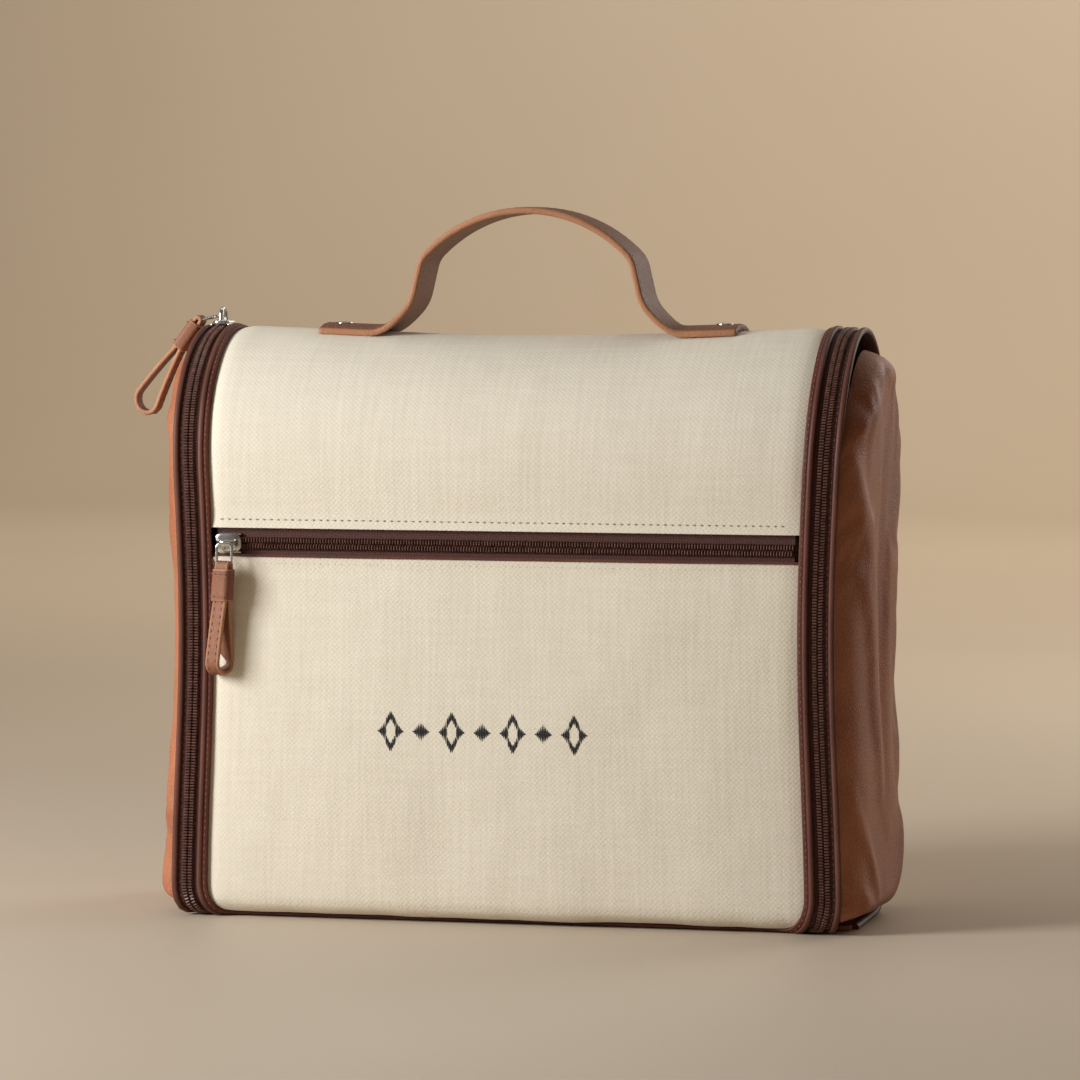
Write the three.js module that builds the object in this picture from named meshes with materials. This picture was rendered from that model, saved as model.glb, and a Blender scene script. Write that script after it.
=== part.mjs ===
// Upright kit bag with a zipped wrap-over cover, in millimetres.
// X runs across the front, -Y is the front, +Z is up, and the origin is on the ground under the middle.
import * as THREE from 'three';

// ---- Driving dimensions ----
const HALF_DEPTH = 50;
const HEIGHT = 230;
const CROWN_RADIUS = 48;
const CROWN_Y = HALF_DEPTH - CROWN_RADIUS;
const CROWN_Z = HEIGHT - CROWN_RADIUS;
const SHOULDER_ANGLE = THREE.MathUtils.degToRad(35);
const HEEL_RADIUS = 35;
const FOLD_Z = 160;
const FRONT_FOOT_Z = 5;
const GAP = 0.3;

const CANVAS_THICKNESS = 2;
const LINING_THICKNESS = 1.2;
const BOARD_THICKNESS = 1.5;
const LEATHER_THICKNESS = 2.2;
const TAPE_THICKNESS = 1;

// Half-widths at which one strip of the side edge ends and the next begins, from the middle outwards.
const CANVAS_EDGE_X = 117;
const BINDING_EDGE_X = 121.3;
const COVER_TAPE_EDGE_X = 124;
const SEAM_X = 127;
const SIDE_COIL_EDGE_X = 130;
const SIDE_TAPE_EDGE_X = 133.5;
const BULGE = 8;
const BINDING_PROUD = 1;
const COIL_PROUD = 0.9;

const POCKET_ZIP_Z = 147;
const POCKET_COIL_HEIGHT = 5.6;
const POCKET_ZIP_HEIGHT = 12;
const POCKET_DEPTH = 6;
const POCKET_SLIDER_X = -109.5;

const HANDLE_FOOT_X = 84;
const HANDLE_ARM_X = 48;
const HANDLE_TOP_Z = 279;
const HANDLE_WIDTH = 25;
const HANDLE_THICKNESS = 3.6;

const PULL_WIDTH = 9;
const PULL_PLY = 1.8;

// ---- Finishes ----
const canvas = new THREE.MeshStandardMaterial({ color: 0xe6dac0, roughness: 0.9, metalness: 0 });
const tanLeather = new THREE.MeshStandardMaterial({ color: 0x9a5532, roughness: 0.5, metalness: 0 });
const bindingLeather = new THREE.MeshStandardMaterial({ color: 0x5e2c1d, roughness: 0.55, metalness: 0 });
const zipCloth = new THREE.MeshStandardMaterial({ color: 0x3a2019, roughness: 0.8, metalness: 0 });
const zipCoil = new THREE.MeshStandardMaterial({ color: 0x53301f, roughness: 0.45, metalness: 0 });
const liningCloth = new THREE.MeshStandardMaterial({ color: 0x8a6a4e, roughness: 0.85, metalness: 0 });
const stiffener = new THREE.MeshStandardMaterial({ color: 0x4a4a4a, roughness: 0.8, metalness: 0 });
const nickel = new THREE.MeshStandardMaterial({ color: 0xd8d8da, roughness: 0.2, metalness: 1 });

const bag = new THREE.Group();

function addMesh(name, geometry, material) {
  const mesh = new THREE.Mesh(geometry, material);
  mesh.name = name;
  bag.add(mesh);
  return mesh;
}

// ---- Outlines in the side view, as points (y, z), each set in from the outside by an inset ----
const point = (y, z) => new THREE.Vector2(y, z);

// Points of an arc about a centre; an angle of 0 is straight up and a positive one leans to the front.
function arc(centreY, centreZ, radius, fromAngle, toAngle, steps) {
  const points = [];
  for (let i = 0; i <= steps; i += 1) {
    const angle = fromAngle + ((toAngle - fromAngle) * i) / steps;
    points.push(point(centreY - radius * Math.sin(angle), centreZ + radius * Math.cos(angle)));
  }
  return points;
}

const shoulderSine = Math.sin(SHOULDER_ANGLE);
const SHOULDER_RADIUS = (HALF_DEPTH + CROWN_Y - CROWN_RADIUS * shoulderSine) / (1 - shoulderSine);
const SHOULDER_Y = SHOULDER_RADIUS - HALF_DEPTH;
const SHOULDER_Z = CROWN_Z - (SHOULDER_RADIUS - CROWN_RADIUS) * Math.cos(SHOULDER_ANGLE);

function crownArc(inset, fromAngle, toAngle, steps) {
  return arc(CROWN_Y, CROWN_Z, CROWN_RADIUS - inset, fromAngle, toAngle, steps);
}

// The wrap-over part of the outline, from the fold at the front over the crown to the back hinge.
function overTheTop(inset, frontZ, backZ) {
  const radius = SHOULDER_RADIUS - inset;
  return [
    point(inset - HALF_DEPTH, frontZ),
    ...arc(SHOULDER_Y, SHOULDER_Z, radius, Math.PI / 2, SHOULDER_ANGLE, 5),
    ...crownArc(inset, SHOULDER_ANGLE, -Math.PI / 2, 10).slice(1),
    point(HALF_DEPTH - inset, backZ),
  ];
}

// The rest of the outline, from the back hinge down round the heel and forward along the base.
function downTheBack(inset, backZ, baseFrontY) {
  const heelY = HALF_DEPTH - HEEL_RADIUS;
  return [
    point(HALF_DEPTH - inset, backZ),
    ...arc(heelY, HEEL_RADIUS, HEEL_RADIUS - inset, -Math.PI / 2, -Math.PI, 6),
    point(baseFrontY, inset),
  ];
}

function wholeOutline(inset) {
  return [
    ...overTheTop(inset, FRONT_FOOT_Z + inset, CROWN_Z).slice(0, -1),
    ...downTheBack(inset, CROWN_Z, inset - HALF_DEPTH).slice(1),
  ];
}

// ---- Solids ----
const sideToWorld = new THREE.Matrix4().makeBasis(
  new THREE.Vector3(0, 1, 0),
  new THREE.Vector3(0, 0, 1),
  new THREE.Vector3(1, 0, 0),
);

// A shape drawn in the side view and carried across from one x to another.
function acrossX(points, fromX, toX) {
  const shape = new THREE.Shape(points);
  const settings = { depth: Math.abs(toX - fromX), bevelEnabled: false, curveSegments: 8 };
  const geometry = new THREE.ExtrudeGeometry(shape, settings);
  geometry.translate(0, 0, Math.min(fromX, toX));
  return geometry.applyMatrix4(sideToWorld);
}

// A band of cloth that follows the outline between two insets.
function band(outline, outerInset, innerInset, fromX, toX, ...limits) {
  const outer = outline(outerInset, ...limits);
  const inner = outline(innerInset, ...limits).reverse();
  return acrossX([...outer, ...inner], fromX, toX);
}

function box(fromX, toX, fromY, toY, fromZ, toZ) {
  const geometry = new THREE.BoxGeometry(Math.abs(toX - fromX), toY - fromY, toZ - fromZ);
  return geometry.translate((fromX + toX) / 2, (fromY + toY) / 2, (fromZ + toZ) / 2);
}

// A closed skin through rings of the same number of points, with a flat cap on the first and last ring.
function loft(rings) {
  const count = rings[0].length;
  const position = rings.flat().flatMap((p) => [p.x, p.y, p.z]);
  const index = [];
  for (let r = 0; r + 1 < rings.length; r += 1) {
    for (let i = 0; i < count; i += 1) {
      const a = r * count + i;
      const b = r * count + ((i + 1) % count);
      index.push(a, b, a + count, b, b + count, a + count);
    }
  }
  const last = (rings.length - 1) * count;
  for (let i = 1; i + 1 < count; i += 1) {
    index.push(0, i + 1, i);
    index.push(last, last + i, last + i + 1);
  }
  const geometry = new THREE.BufferGeometry();
  geometry.setAttribute('position', new THREE.Float32BufferAttribute(position, 3));
  geometry.setIndex(index);
  return geometry;
}

const sides = [
  { name: 'left', sign: -1 },
  { name: 'right', sign: 1 },
];

// ---- Tub: base, back and the two bulging leather ends ----
const BASE_FRONT_Y = -37;
const HEEL_SEAM_ANGLE = -0.75 * Math.PI;
const HEEL_SEAM_GAP = 0.007 * Math.PI;
const BOARD_HALF_X = 120;
const BACK_BOARD_Z = [38, 176];
const BASE_BOARD_Y = [-34, 13];
const backTopZ = CROWN_Z - GAP;
const skin = [0, CANVAS_THICKNESS];
const board = [CANVAS_THICKNESS + GAP, CANVAS_THICKNESS + GAP + BOARD_THICKNESS];
const lining = [board[1] + GAP, board[1] + GAP + LINING_THICKNESS];
const heelCentreY = HALF_DEPTH - HEEL_RADIUS;
const tubHalf = SEAM_X + GAP + 1;
const innerHalf = SEAM_X - 1;

function backOutline(inset) {
  return [
    point(HALF_DEPTH - inset, backTopZ),
    ...arc(heelCentreY, HEEL_RADIUS, HEEL_RADIUS - inset, -Math.PI / 2, HEEL_SEAM_ANGLE, 4),
  ];
}

function baseOutline(inset) {
  return [
    ...arc(heelCentreY, HEEL_RADIUS, HEEL_RADIUS - inset, HEEL_SEAM_ANGLE - HEEL_SEAM_GAP, -Math.PI, 4),
    point(BASE_FRONT_Y, inset),
  ];
}

addMesh('back_panel', band(backOutline, ...skin, -tubHalf, tubHalf), canvas);
addMesh('base_panel', band(baseOutline, ...skin, -tubHalf, tubHalf), tanLeather);
const backBoardY = [HALF_DEPTH - board[1], HALF_DEPTH - board[0]];
addMesh('back_board', box(-BOARD_HALF_X, BOARD_HALF_X, ...backBoardY, ...BACK_BOARD_Z), stiffener);
addMesh('base_board', box(-BOARD_HALF_X, BOARD_HALF_X, ...BASE_BOARD_Y, ...board), stiffener);
const tubLining = band(downTheBack, ...lining, -innerHalf, innerHalf, backTopZ, BASE_BOARD_Y[0]);
addMesh('tub_lining', tubLining, liningCloth);

// The organiser pocket sewn to the inside of the back.
const INNER_POCKET_HALF_X = 110;
const INNER_POCKET_LOW_Z = 40;
const INNER_POCKET_TOP_Z = 118;
const ELASTIC_TOP_Z = 126;
const POCKET_EDGE_WIDTH = 2.7;
const pocketFaceY = HALF_DEPTH - lining[1] - 6;
const meshPocket = box(
  -INNER_POCKET_HALF_X, INNER_POCKET_HALF_X, pocketFaceY - 1, pocketFaceY, INNER_POCKET_LOW_Z, INNER_POCKET_TOP_Z,
);
addMesh('inner_mesh_pocket', meshPocket, liningCloth);
const elastic = box(
  -INNER_POCKET_HALF_X, INNER_POCKET_HALF_X,
  pocketFaceY - 1.6, pocketFaceY + 0.6,
  INNER_POCKET_TOP_Z + GAP, ELASTIC_TOP_Z,
);
addMesh('inner_pocket_elastic', elastic, zipCloth);
for (const side of sides) {
  const edge = box(
    side.sign * (INNER_POCKET_HALF_X + GAP), side.sign * (INNER_POCKET_HALF_X + GAP + POCKET_EDGE_WIDTH),
    pocketFaceY - 1, HALF_DEPTH - lining[1] - GAP,
    INNER_POCKET_LOW_Z, ELASTIC_TOP_Z,
  );
  addMesh(`inner_pocket_${side.name}_edge`, edge, zipCloth);
}

// Each end bulges out past its seam: x is counted from the middle, and the inset from the outline.
const GUSSET_RINGS = [
  { x: SIDE_TAPE_EDGE_X + BULGE - LEATHER_THICKNESS, inset: 16 },
  { x: SIDE_TAPE_EDGE_X + BULGE * 0.45 - LEATHER_THICKNESS, inset: 6 },
  { x: SEAM_X + 1.6, inset: 4.4 },
  { x: SEAM_X + 1.6, inset: CANVAS_THICKNESS + GAP },
  { x: SIDE_TAPE_EDGE_X + GAP, inset: CANVAS_THICKNESS + GAP },
  { x: SIDE_TAPE_EDGE_X + GAP, inset: 0.6 },
  { x: SIDE_TAPE_EDGE_X + BULGE * 0.5, inset: 2.4 },
  { x: SIDE_TAPE_EDGE_X + BULGE * 0.86, inset: 7 },
  { x: SIDE_TAPE_EDGE_X + BULGE, inset: 16 },
];

for (const side of sides) {
  const rings = GUSSET_RINGS.map(({ x, inset }) => {
    const ring = wholeOutline(inset).map((p) => new THREE.Vector3(side.sign * x, p.x, p.y));
    return side.sign > 0 ? ring.reverse() : ring;
  });
  addMesh(`${side.name}_gusset`, loft(rings), tanLeather);
  const sign = side.sign;
  const tape = [SIDE_COIL_EDGE_X + GAP, SIDE_TAPE_EDGE_X];
  const coil = [SEAM_X + GAP / 2, SIDE_COIL_EDGE_X];
  const overEdge = (inset) => overTheTop(inset, FRONT_FOOT_Z, backTopZ);
  const tapeBand = band(overEdge, 0, TAPE_THICKNESS, sign * tape[0], sign * tape[1]);
  addMesh(`${side.name}_side_zip_tape`, tapeBand, zipCloth);
  const coilBand = band(overEdge, -COIL_PROUD, TAPE_THICKNESS, sign * coil[0], sign * coil[1]);
  addMesh(`${side.name}_side_zip_coil`, coilBand, zipCoil);
  const pipeOutline = (inset) => downTheBack(inset, backTopZ, BASE_FRONT_Y);
  const piping = band(pipeOutline, 0.2, CANVAS_THICKNESS, sign * (tubHalf + GAP), sign * SIDE_TAPE_EDGE_X);
  addMesh(`${side.name}_gusset_piping`, piping, bindingLeather);
}

// The bottom run of the zip, turned under the front edge: the tub's half.
const BOTTOM_SEAM_Y = -44;
const BOTTOM_ZIP_Z = [1, 3.4];
const bottomHalf = 112;
const coilWidth = SIDE_COIL_EDGE_X - SEAM_X - GAP / 2;
const sideCoilY = [BOTTOM_SEAM_Y + GAP / 2, BOTTOM_SEAM_Y + GAP / 2 + coilWidth];
addMesh('base_zip_coil', box(-bottomHalf, bottomHalf, ...sideCoilY, ...BOTTOM_ZIP_Z), zipCoil);
const sideTapeY = [sideCoilY[1] + GAP, BASE_FRONT_Y - GAP];
addMesh('base_zip_tape', box(-bottomHalf, bottomHalf, ...sideTapeY, 1.6, 2.8), zipCloth);

// ---- Top flap: the canvas that wraps over the crown ----
const topFoldZ = FOLD_Z + GAP;
const overCrown = (inset) => [
  point(inset - HALF_DEPTH, topFoldZ),
  ...arc(SHOULDER_Y, SHOULDER_Z, SHOULDER_RADIUS - inset, Math.PI / 2, SHOULDER_ANGLE, 5),
  ...crownArc(inset, SHOULDER_ANGLE, GAP / (CROWN_RADIUS - inset) - Math.PI / 2, 10).slice(1),
];
addMesh('top_canvas', band(overCrown, ...skin, -CANVAS_EDGE_X, CANVAS_EDGE_X), canvas);
const topLiningInsets = [CANVAS_THICKNESS + GAP, CANVAS_THICKNESS + GAP + LINING_THICKNESS];
addMesh('top_lining', band(overCrown, ...topLiningInsets, -CANVAS_EDGE_X, CANVAS_EDGE_X), liningCloth);

// The strips that edge a cover panel on one side: binding, zip tape and the cover's half of the coil.
function coverEdge(prefix, outline, sign) {
  const strips = [
    { name: 'binding', x: [CANVAS_EDGE_X + GAP, BINDING_EDGE_X], inset: [-BINDING_PROUD, 2.2], cloth: bindingLeather },
    { name: 'zip_tape', x: [BINDING_EDGE_X + GAP, COVER_TAPE_EDGE_X - GAP], inset: [0, 1], cloth: zipCloth },
    { name: 'zip_coil', x: [COVER_TAPE_EDGE_X, SEAM_X - GAP / 2], inset: [-COIL_PROUD, 1], cloth: zipCoil },
  ];
  for (const strip of strips) {
    const geometry = band(outline, ...strip.inset, sign * strip.x[0], sign * strip.x[1]);
    addMesh(`${prefix}_${strip.name}`, geometry, strip.cloth);
  }
}

for (const side of sides) {
  coverEdge(`top_${side.name}`, overCrown, side.sign);
}

// ---- Front flap: the pocket front, its zip and the stiff back of the pocket ----
const frontFoldZ = FOLD_Z - GAP;
const frontOutline = (inset) => [point(inset - HALF_DEPTH, FRONT_FOOT_Z), point(inset - HALF_DEPTH, frontFoldZ)];
const zipTop = POCKET_ZIP_Z + POCKET_ZIP_HEIGHT / 2;
const zipBottom = POCKET_ZIP_Z - POCKET_ZIP_HEIGHT / 2;
const frontSkinY = [-HALF_DEPTH, -HALF_DEPTH + CANVAS_THICKNESS];
const upperStrip = box(-CANVAS_EDGE_X, CANVAS_EDGE_X, ...frontSkinY, zipTop + GAP, frontFoldZ);
addMesh('front_upper_strip', upperStrip, canvas);
const pocketPanel = box(-CANVAS_EDGE_X, CANVAS_EDGE_X, ...frontSkinY, FRONT_FOOT_Z, zipBottom - GAP);
addMesh('front_pocket_panel', pocketPanel, canvas);

const coilHalf = POCKET_COIL_HEIGHT / 2;
const zipFaceY = -HALF_DEPTH + 1.4;
const pocketTapeY = [zipFaceY, zipFaceY + TAPE_THICKNESS];
const upperTape = box(-CANVAS_EDGE_X, CANVAS_EDGE_X, ...pocketTapeY, POCKET_ZIP_Z + coilHalf + GAP, zipTop);
addMesh('pocket_zip_upper_tape', upperTape, zipCloth);
const lowerTape = box(-CANVAS_EDGE_X, CANVAS_EDGE_X, ...pocketTapeY, zipBottom, POCKET_ZIP_Z - coilHalf - GAP);
addMesh('pocket_zip_lower_tape', lowerTape, zipCloth);
const pocketCoil = box(
  -CANVAS_EDGE_X, CANVAS_EDGE_X,
  zipFaceY - COIL_PROUD, zipFaceY + TAPE_THICKNESS,
  POCKET_ZIP_Z - coilHalf, POCKET_ZIP_Z + coilHalf,
);
addMesh('pocket_zip_coil', pocketCoil, zipCoil);

const pocketBackY = frontSkinY[1] + POCKET_DEPTH;
const boardY = [pocketBackY, pocketBackY + BOARD_THICKNESS];
const FRONT_BOARD_Z = [8, frontFoldZ - 4];
addMesh('front_board', box(-CANVAS_EDGE_X, CANVAS_EDGE_X, ...boardY, ...FRONT_BOARD_Z), stiffener);
const liningY = [boardY[1] + GAP, boardY[1] + GAP + LINING_THICKNESS];
addMesh('front_lining', box(-CANVAS_EDGE_X, CANVAS_EDGE_X, ...liningY, ...FRONT_BOARD_Z), liningCloth);

for (const side of sides) {
  coverEdge(`front_${side.name}`, frontOutline, side.sign);
}
const coverCoilY = [BOTTOM_SEAM_Y - GAP / 2 - coilWidth, BOTTOM_SEAM_Y - GAP / 2];
addMesh('front_bottom_zip_coil', box(-bottomHalf, bottomHalf, ...coverCoilY, ...BOTTOM_ZIP_Z), zipCoil);
const bottomBindingY = [-HALF_DEPTH, coverCoilY[0] - GAP];
addMesh('front_bottom_binding', box(-bottomHalf, bottomHalf, ...bottomBindingY, 1.2, 4.4), bindingLeather);

// ---- Handle: one leather strap, its two sewn feet and their rivets ----
const footZ = HEIGHT + GAP + 0.4;
const footTop = footZ + HANDLE_THICKNESS;
const HANDLE_ROOT_Z = footTop + 2.2;
const HANDLE_ROOT_WIDTH = 6;
const HANDLE_TAPER = 0.14;
const RIVET_RADIUS = 4;
const RIVET_HEIGHT = 1.2;
const RIVET_INSET = 7;

// A flat strap through points (x, z) in the front view, its width across Y set along its length.
function strap(centreline, widths, thickness, centreY) {
  const curve = new THREE.CatmullRomCurve3(centreline.map((p) => new THREE.Vector3(p.x, 0, p.y)));
  const steps = 28;
  const rings = [];
  for (let i = 0; i <= steps; i += 1) {
    const t = i / steps;
    const centre = curve.getPointAt(t);
    const along = curve.getTangentAt(t);
    const out = new THREE.Vector3(-along.z, 0, along.x).multiplyScalar(thickness / 2);
    const half = widths(t) / 2;
    const corners = [[1, 1], [1, -1], [-1, -1], [-1, 1]];
    rings.push(corners.map(([o, w]) => centre.clone().addScaledVector(out, o).setY(centreY + w * half)));
  }
  return loft(rings);
}

const handleLine = [
  point(-HANDLE_ARM_X, HANDLE_ROOT_Z),
  point(-HANDLE_ARM_X + 6, HANDLE_ROOT_Z + 17),
  point(-HANDLE_ARM_X + 15, HANDLE_TOP_Z - 12),
  point(-15, HANDLE_TOP_Z - 3.4),
  point(15, HANDLE_TOP_Z - 3.4),
  point(HANDLE_ARM_X - 15, HANDLE_TOP_Z - 12),
  point(HANDLE_ARM_X - 6, HANDLE_ROOT_Z + 17),
  point(HANDLE_ARM_X, HANDLE_ROOT_Z),
];
// The strap narrows to its roots, which leaves it room to lean.
const handleWidth = (t) => {
  const fromRoot = Math.min(t, 1 - t) / HANDLE_TAPER;
  return THREE.MathUtils.lerp(HANDLE_ROOT_WIDTH, HANDLE_WIDTH, Math.min(1, fromRoot));
};
addMesh('handle_strap', strap(handleLine, handleWidth, HANDLE_THICKNESS, CROWN_Y), tanLeather);

for (const side of sides) {
  const sign = side.sign;
  const half = HANDLE_WIDTH / 2;
  const foot = box(sign * (HANDLE_ARM_X - 4), sign * HANDLE_FOOT_X, CROWN_Y - half, CROWN_Y + half, footZ, footTop);
  addMesh(`handle_${side.name}_foot`, foot, tanLeather);
  const rivet = new THREE.CylinderGeometry(RIVET_RADIUS - 0.6, RIVET_RADIUS, RIVET_HEIGHT, 20).rotateX(Math.PI / 2);
  rivet.translate(sign * (HANDLE_FOOT_X - RIVET_INSET), CROWN_Y, footTop + GAP + RIVET_HEIGHT / 2);
  addMesh(`handle_${side.name}_rivet`, rivet, nickel);
}

// ---- Sliders and their pulls ----
// A shape in local axes (u across, v up) for the loop of a leather pull that hangs from v = 0.
function pullLoopShape(length, width) {
  const shape = new THREE.Shape();
  const outline = (path, inset) => {
    const neck = 2.4 - inset;
    const belly = width / 2 - inset;
    const turn = -0.72 * length;
    const low = -length - 0.16 * length + 1.3 * inset;
    path.moveTo(-neck, -inset);
    path.bezierCurveTo(-neck, 0.4 * turn, -belly, 0.6 * turn, -belly, turn);
    path.bezierCurveTo(-belly, low + 0.06 * length, belly, low + 0.06 * length, belly, turn);
    path.bezierCurveTo(belly, 0.6 * turn, neck, 0.4 * turn, neck, -inset);
    path.closePath();
    return path;
  };
  outline(shape, 0);
  shape.holes.push(outline(new THREE.Path(), PULL_PLY));
  const settings = { depth: PULL_WIDTH, bevelEnabled: false, curveSegments: 6 };
  return new THREE.ExtrudeGeometry(shape, settings).translate(0, 0, -PULL_WIDTH / 2);
}

const PLATE = 2;
const SLIDER_HALF_LENGTH = 5.4;
const SLIDER_HALF_WIDTH = 4.4;
const BRIDGE_HALF = 1.3;
const BRIDGE_RISE = 3.4;

// The bridge stands on a slider's plate: u runs along the slider and v stands off its plate.
function bridgeGeometry() {
  const shape = new THREE.Shape([
    point(-4, 0), point(4, 0), point(2.8, BRIDGE_RISE), point(-2.8, BRIDGE_RISE),
  ]);
  shape.holes.push(new THREE.Path([
    point(-2.5, 0.8), point(-1.9, BRIDGE_RISE - 1), point(1.9, BRIDGE_RISE - 1), point(2.5, 0.8),
  ]));
  const settings = { depth: 2 * BRIDGE_HALF, bevelEnabled: false };
  return new THREE.ExtrudeGeometry(shape, settings).translate(0, 0, -BRIDGE_HALF);
}

// The pocket's slider lies on the coil at the left end of the pocket.
const pocketPlateY = zipFaceY - COIL_PROUD - GAP;
const sliderX = [POCKET_SLIDER_X - SLIDER_HALF_LENGTH, POCKET_SLIDER_X + SLIDER_HALF_LENGTH];
const sliderZ = [POCKET_ZIP_Z - SLIDER_HALF_WIDTH, POCKET_ZIP_Z + SLIDER_HALF_WIDTH];
addMesh('pocket_slider_body', box(...sliderX, pocketPlateY - PLATE, pocketPlateY, ...sliderZ), nickel);
const pocketBridgeY = pocketPlateY - PLATE - GAP;
const pocketBridge = bridgeGeometry().rotateX(Math.PI);
addMesh('pocket_slider_bridge', pocketBridge, nickel).position.set(POCKET_SLIDER_X, pocketBridgeY, POCKET_ZIP_Z);

// Its wire bail hooks over the bridge's end, and the leather pull hangs from the bail.
const bailY = pocketBridgeY - BRIDGE_RISE - 0.5;
const BAIL_WIRE = 1.2;
const bailHalf = 3.6;
const bailLow = POCKET_ZIP_Z - 9;
const bailHigh = POCKET_ZIP_Z + BAIL_WIRE / 2;
const bailShape = new THREE.Shape([
  point(-bailHalf, bailLow), point(bailHalf, bailLow), point(bailHalf, bailHigh), point(-bailHalf, bailHigh),
]);
bailShape.holes.push(new THREE.Path([
  point(BAIL_WIRE - bailHalf, bailLow + BAIL_WIRE), point(BAIL_WIRE - bailHalf, bailHigh - BAIL_WIRE),
  point(bailHalf - BAIL_WIRE, bailHigh - BAIL_WIRE), point(bailHalf - BAIL_WIRE, bailLow + BAIL_WIRE),
]));
const bail = new THREE.ExtrudeGeometry(bailShape, { depth: BAIL_WIRE, bevelEnabled: false });
addMesh('pocket_pull_bail', bail.rotateX(Math.PI / 2), nickel).position.set(POCKET_SLIDER_X, bailY, 0);

const KEEPER_LENGTH = 12.5;
const KEEPER_HALF_THICKNESS = 2.3;
const LOOP_LENGTH = 34;
const keeperTop = bailLow - GAP;
const pullMiddleY = bailY - 0.9;
const keeperThickness = [-KEEPER_HALF_THICKNESS, KEEPER_HALF_THICKNESS];
const keeper = box(-PULL_WIDTH / 2, PULL_WIDTH / 2, ...keeperThickness, -KEEPER_LENGTH, 0);
addMesh('pocket_pull_keeper', keeper, tanLeather).position.set(POCKET_SLIDER_X, pullMiddleY, keeperTop);
const pocketLoop = pullLoopShape(LOOP_LENGTH, 10).applyMatrix4(sideToWorld);
const loopTop = keeperTop - KEEPER_LENGTH - GAP;
addMesh('pocket_pull_loop', pocketLoop, tanLeather).position.set(POCKET_SLIDER_X, pullMiddleY, loopTop);

// The main slider is parked on the crown at the left: its plates follow the crown's arc.
const PARKED_HALF_ANGLE = SLIDER_HALF_LENGTH / CROWN_RADIUS;
const onCrown = (inset) => crownArc(inset, PARKED_HALF_ANGLE, -PARKED_HALF_ANGLE, 4);
const topPlateInset = -COIL_PROUD - GAP;
const topPlateX = [-SEAM_X - SLIDER_HALF_WIDTH, -SEAM_X + SLIDER_HALF_WIDTH];
addMesh('main_slider_body', band(onCrown, topPlateInset - PLATE, topPlateInset, ...topPlateX), nickel);
const underInset = TAPE_THICKNESS + GAP;
const underPlate = band(onCrown, underInset, underInset + 0.8, -SEAM_X + GAP, -SEAM_X + SLIDER_HALF_WIDTH);
addMesh('main_slider_under_plate', underPlate, nickel);
const mainBridgeZ = HEIGHT - topPlateInset + PLATE + GAP;
const mainBridge = bridgeGeometry().applyMatrix4(sideToWorld);
addMesh('main_slider_bridge', mainBridge, nickel).position.set(-SEAM_X, CROWN_Y, mainBridgeZ);

// The main pull falls outwards over the left end: a flat bar, the wrapped keeper and the hanging loop.
const pullPivotZ = mainBridgeZ + BRIDGE_RISE / 2;
const BAR_TILT = 0.24;
const BAR_REACH = [-10.4, -2.9];
const pullBar = box(...BAR_REACH, -3, 3, -0.7, 0.7);
const bar = addMesh('main_pull_bar', pullBar.rotateY(-BAR_TILT), nickel);
bar.position.set(-SEAM_X, CROWN_Y, pullPivotZ);
const KEEPER_TILT = 0.66;
const mainKeeper = box(...keeperThickness, -PULL_WIDTH / 2, PULL_WIDTH / 2, -KEEPER_LENGTH, 0).rotateY(KEEPER_TILT);
const wrapped = addMesh('main_pull_keeper', mainKeeper, tanLeather);
wrapped.position.set(-SEAM_X - 12.8, CROWN_Y, pullPivotZ - 2);
const LOOP_TILT = 0.48;
const mainLoop = pullLoopShape(LOOP_LENGTH, 12).rotateX(Math.PI / 2).rotateY(LOOP_TILT);
const hanging = addMesh('main_pull_loop', mainLoop, tanLeather);
hanging.position.set(
  wrapped.position.x - (KEEPER_LENGTH + GAP) * Math.sin(KEEPER_TILT) - 0.4,
  CROWN_Y,
  wrapped.position.z - (KEEPER_LENGTH + GAP) * Math.cos(KEEPER_TILT) - 0.8,
);

export default bag;
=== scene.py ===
"""Looks for an upright canvas and leather kit bag with a zipped wrap-over cover.

The bag is cut and sewn as flat pattern pieces first: x runs across the bag, z is the length along the cover's
path from the front's lower edge over the crown, and y is the height off the surface. Each piece is then wrapped
onto the form of the bag, and the form is settled, so that neighbouring pieces keep to each other.
Lengths are metres, and angles are radians.
"""

from __future__ import annotations

import logging
import math
from collections.abc import Callable, Iterable, Sequence
from dataclasses import dataclass, field
from enum import Enum

import bmesh
import bpy
import numpy as np
from mathutils import Matrix, Vector, noise

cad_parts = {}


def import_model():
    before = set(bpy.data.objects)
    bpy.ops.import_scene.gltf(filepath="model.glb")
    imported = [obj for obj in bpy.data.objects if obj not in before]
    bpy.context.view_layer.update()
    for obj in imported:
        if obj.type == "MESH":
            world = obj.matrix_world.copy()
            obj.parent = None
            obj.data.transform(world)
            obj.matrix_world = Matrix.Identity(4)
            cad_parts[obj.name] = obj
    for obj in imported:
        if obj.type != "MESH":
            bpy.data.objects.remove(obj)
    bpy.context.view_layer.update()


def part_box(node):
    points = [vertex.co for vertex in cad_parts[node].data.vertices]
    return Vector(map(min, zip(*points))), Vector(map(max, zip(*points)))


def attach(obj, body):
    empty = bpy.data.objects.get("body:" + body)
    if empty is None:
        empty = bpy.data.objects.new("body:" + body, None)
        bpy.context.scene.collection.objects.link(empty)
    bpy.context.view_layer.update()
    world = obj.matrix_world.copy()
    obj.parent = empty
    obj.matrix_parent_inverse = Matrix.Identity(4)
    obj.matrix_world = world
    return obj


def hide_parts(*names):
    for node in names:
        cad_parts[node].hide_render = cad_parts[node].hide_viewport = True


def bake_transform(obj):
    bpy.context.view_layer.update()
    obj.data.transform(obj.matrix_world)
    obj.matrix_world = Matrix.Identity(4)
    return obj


LOG = logging.getLogger("kit_bag")
MM = 0.001
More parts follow.
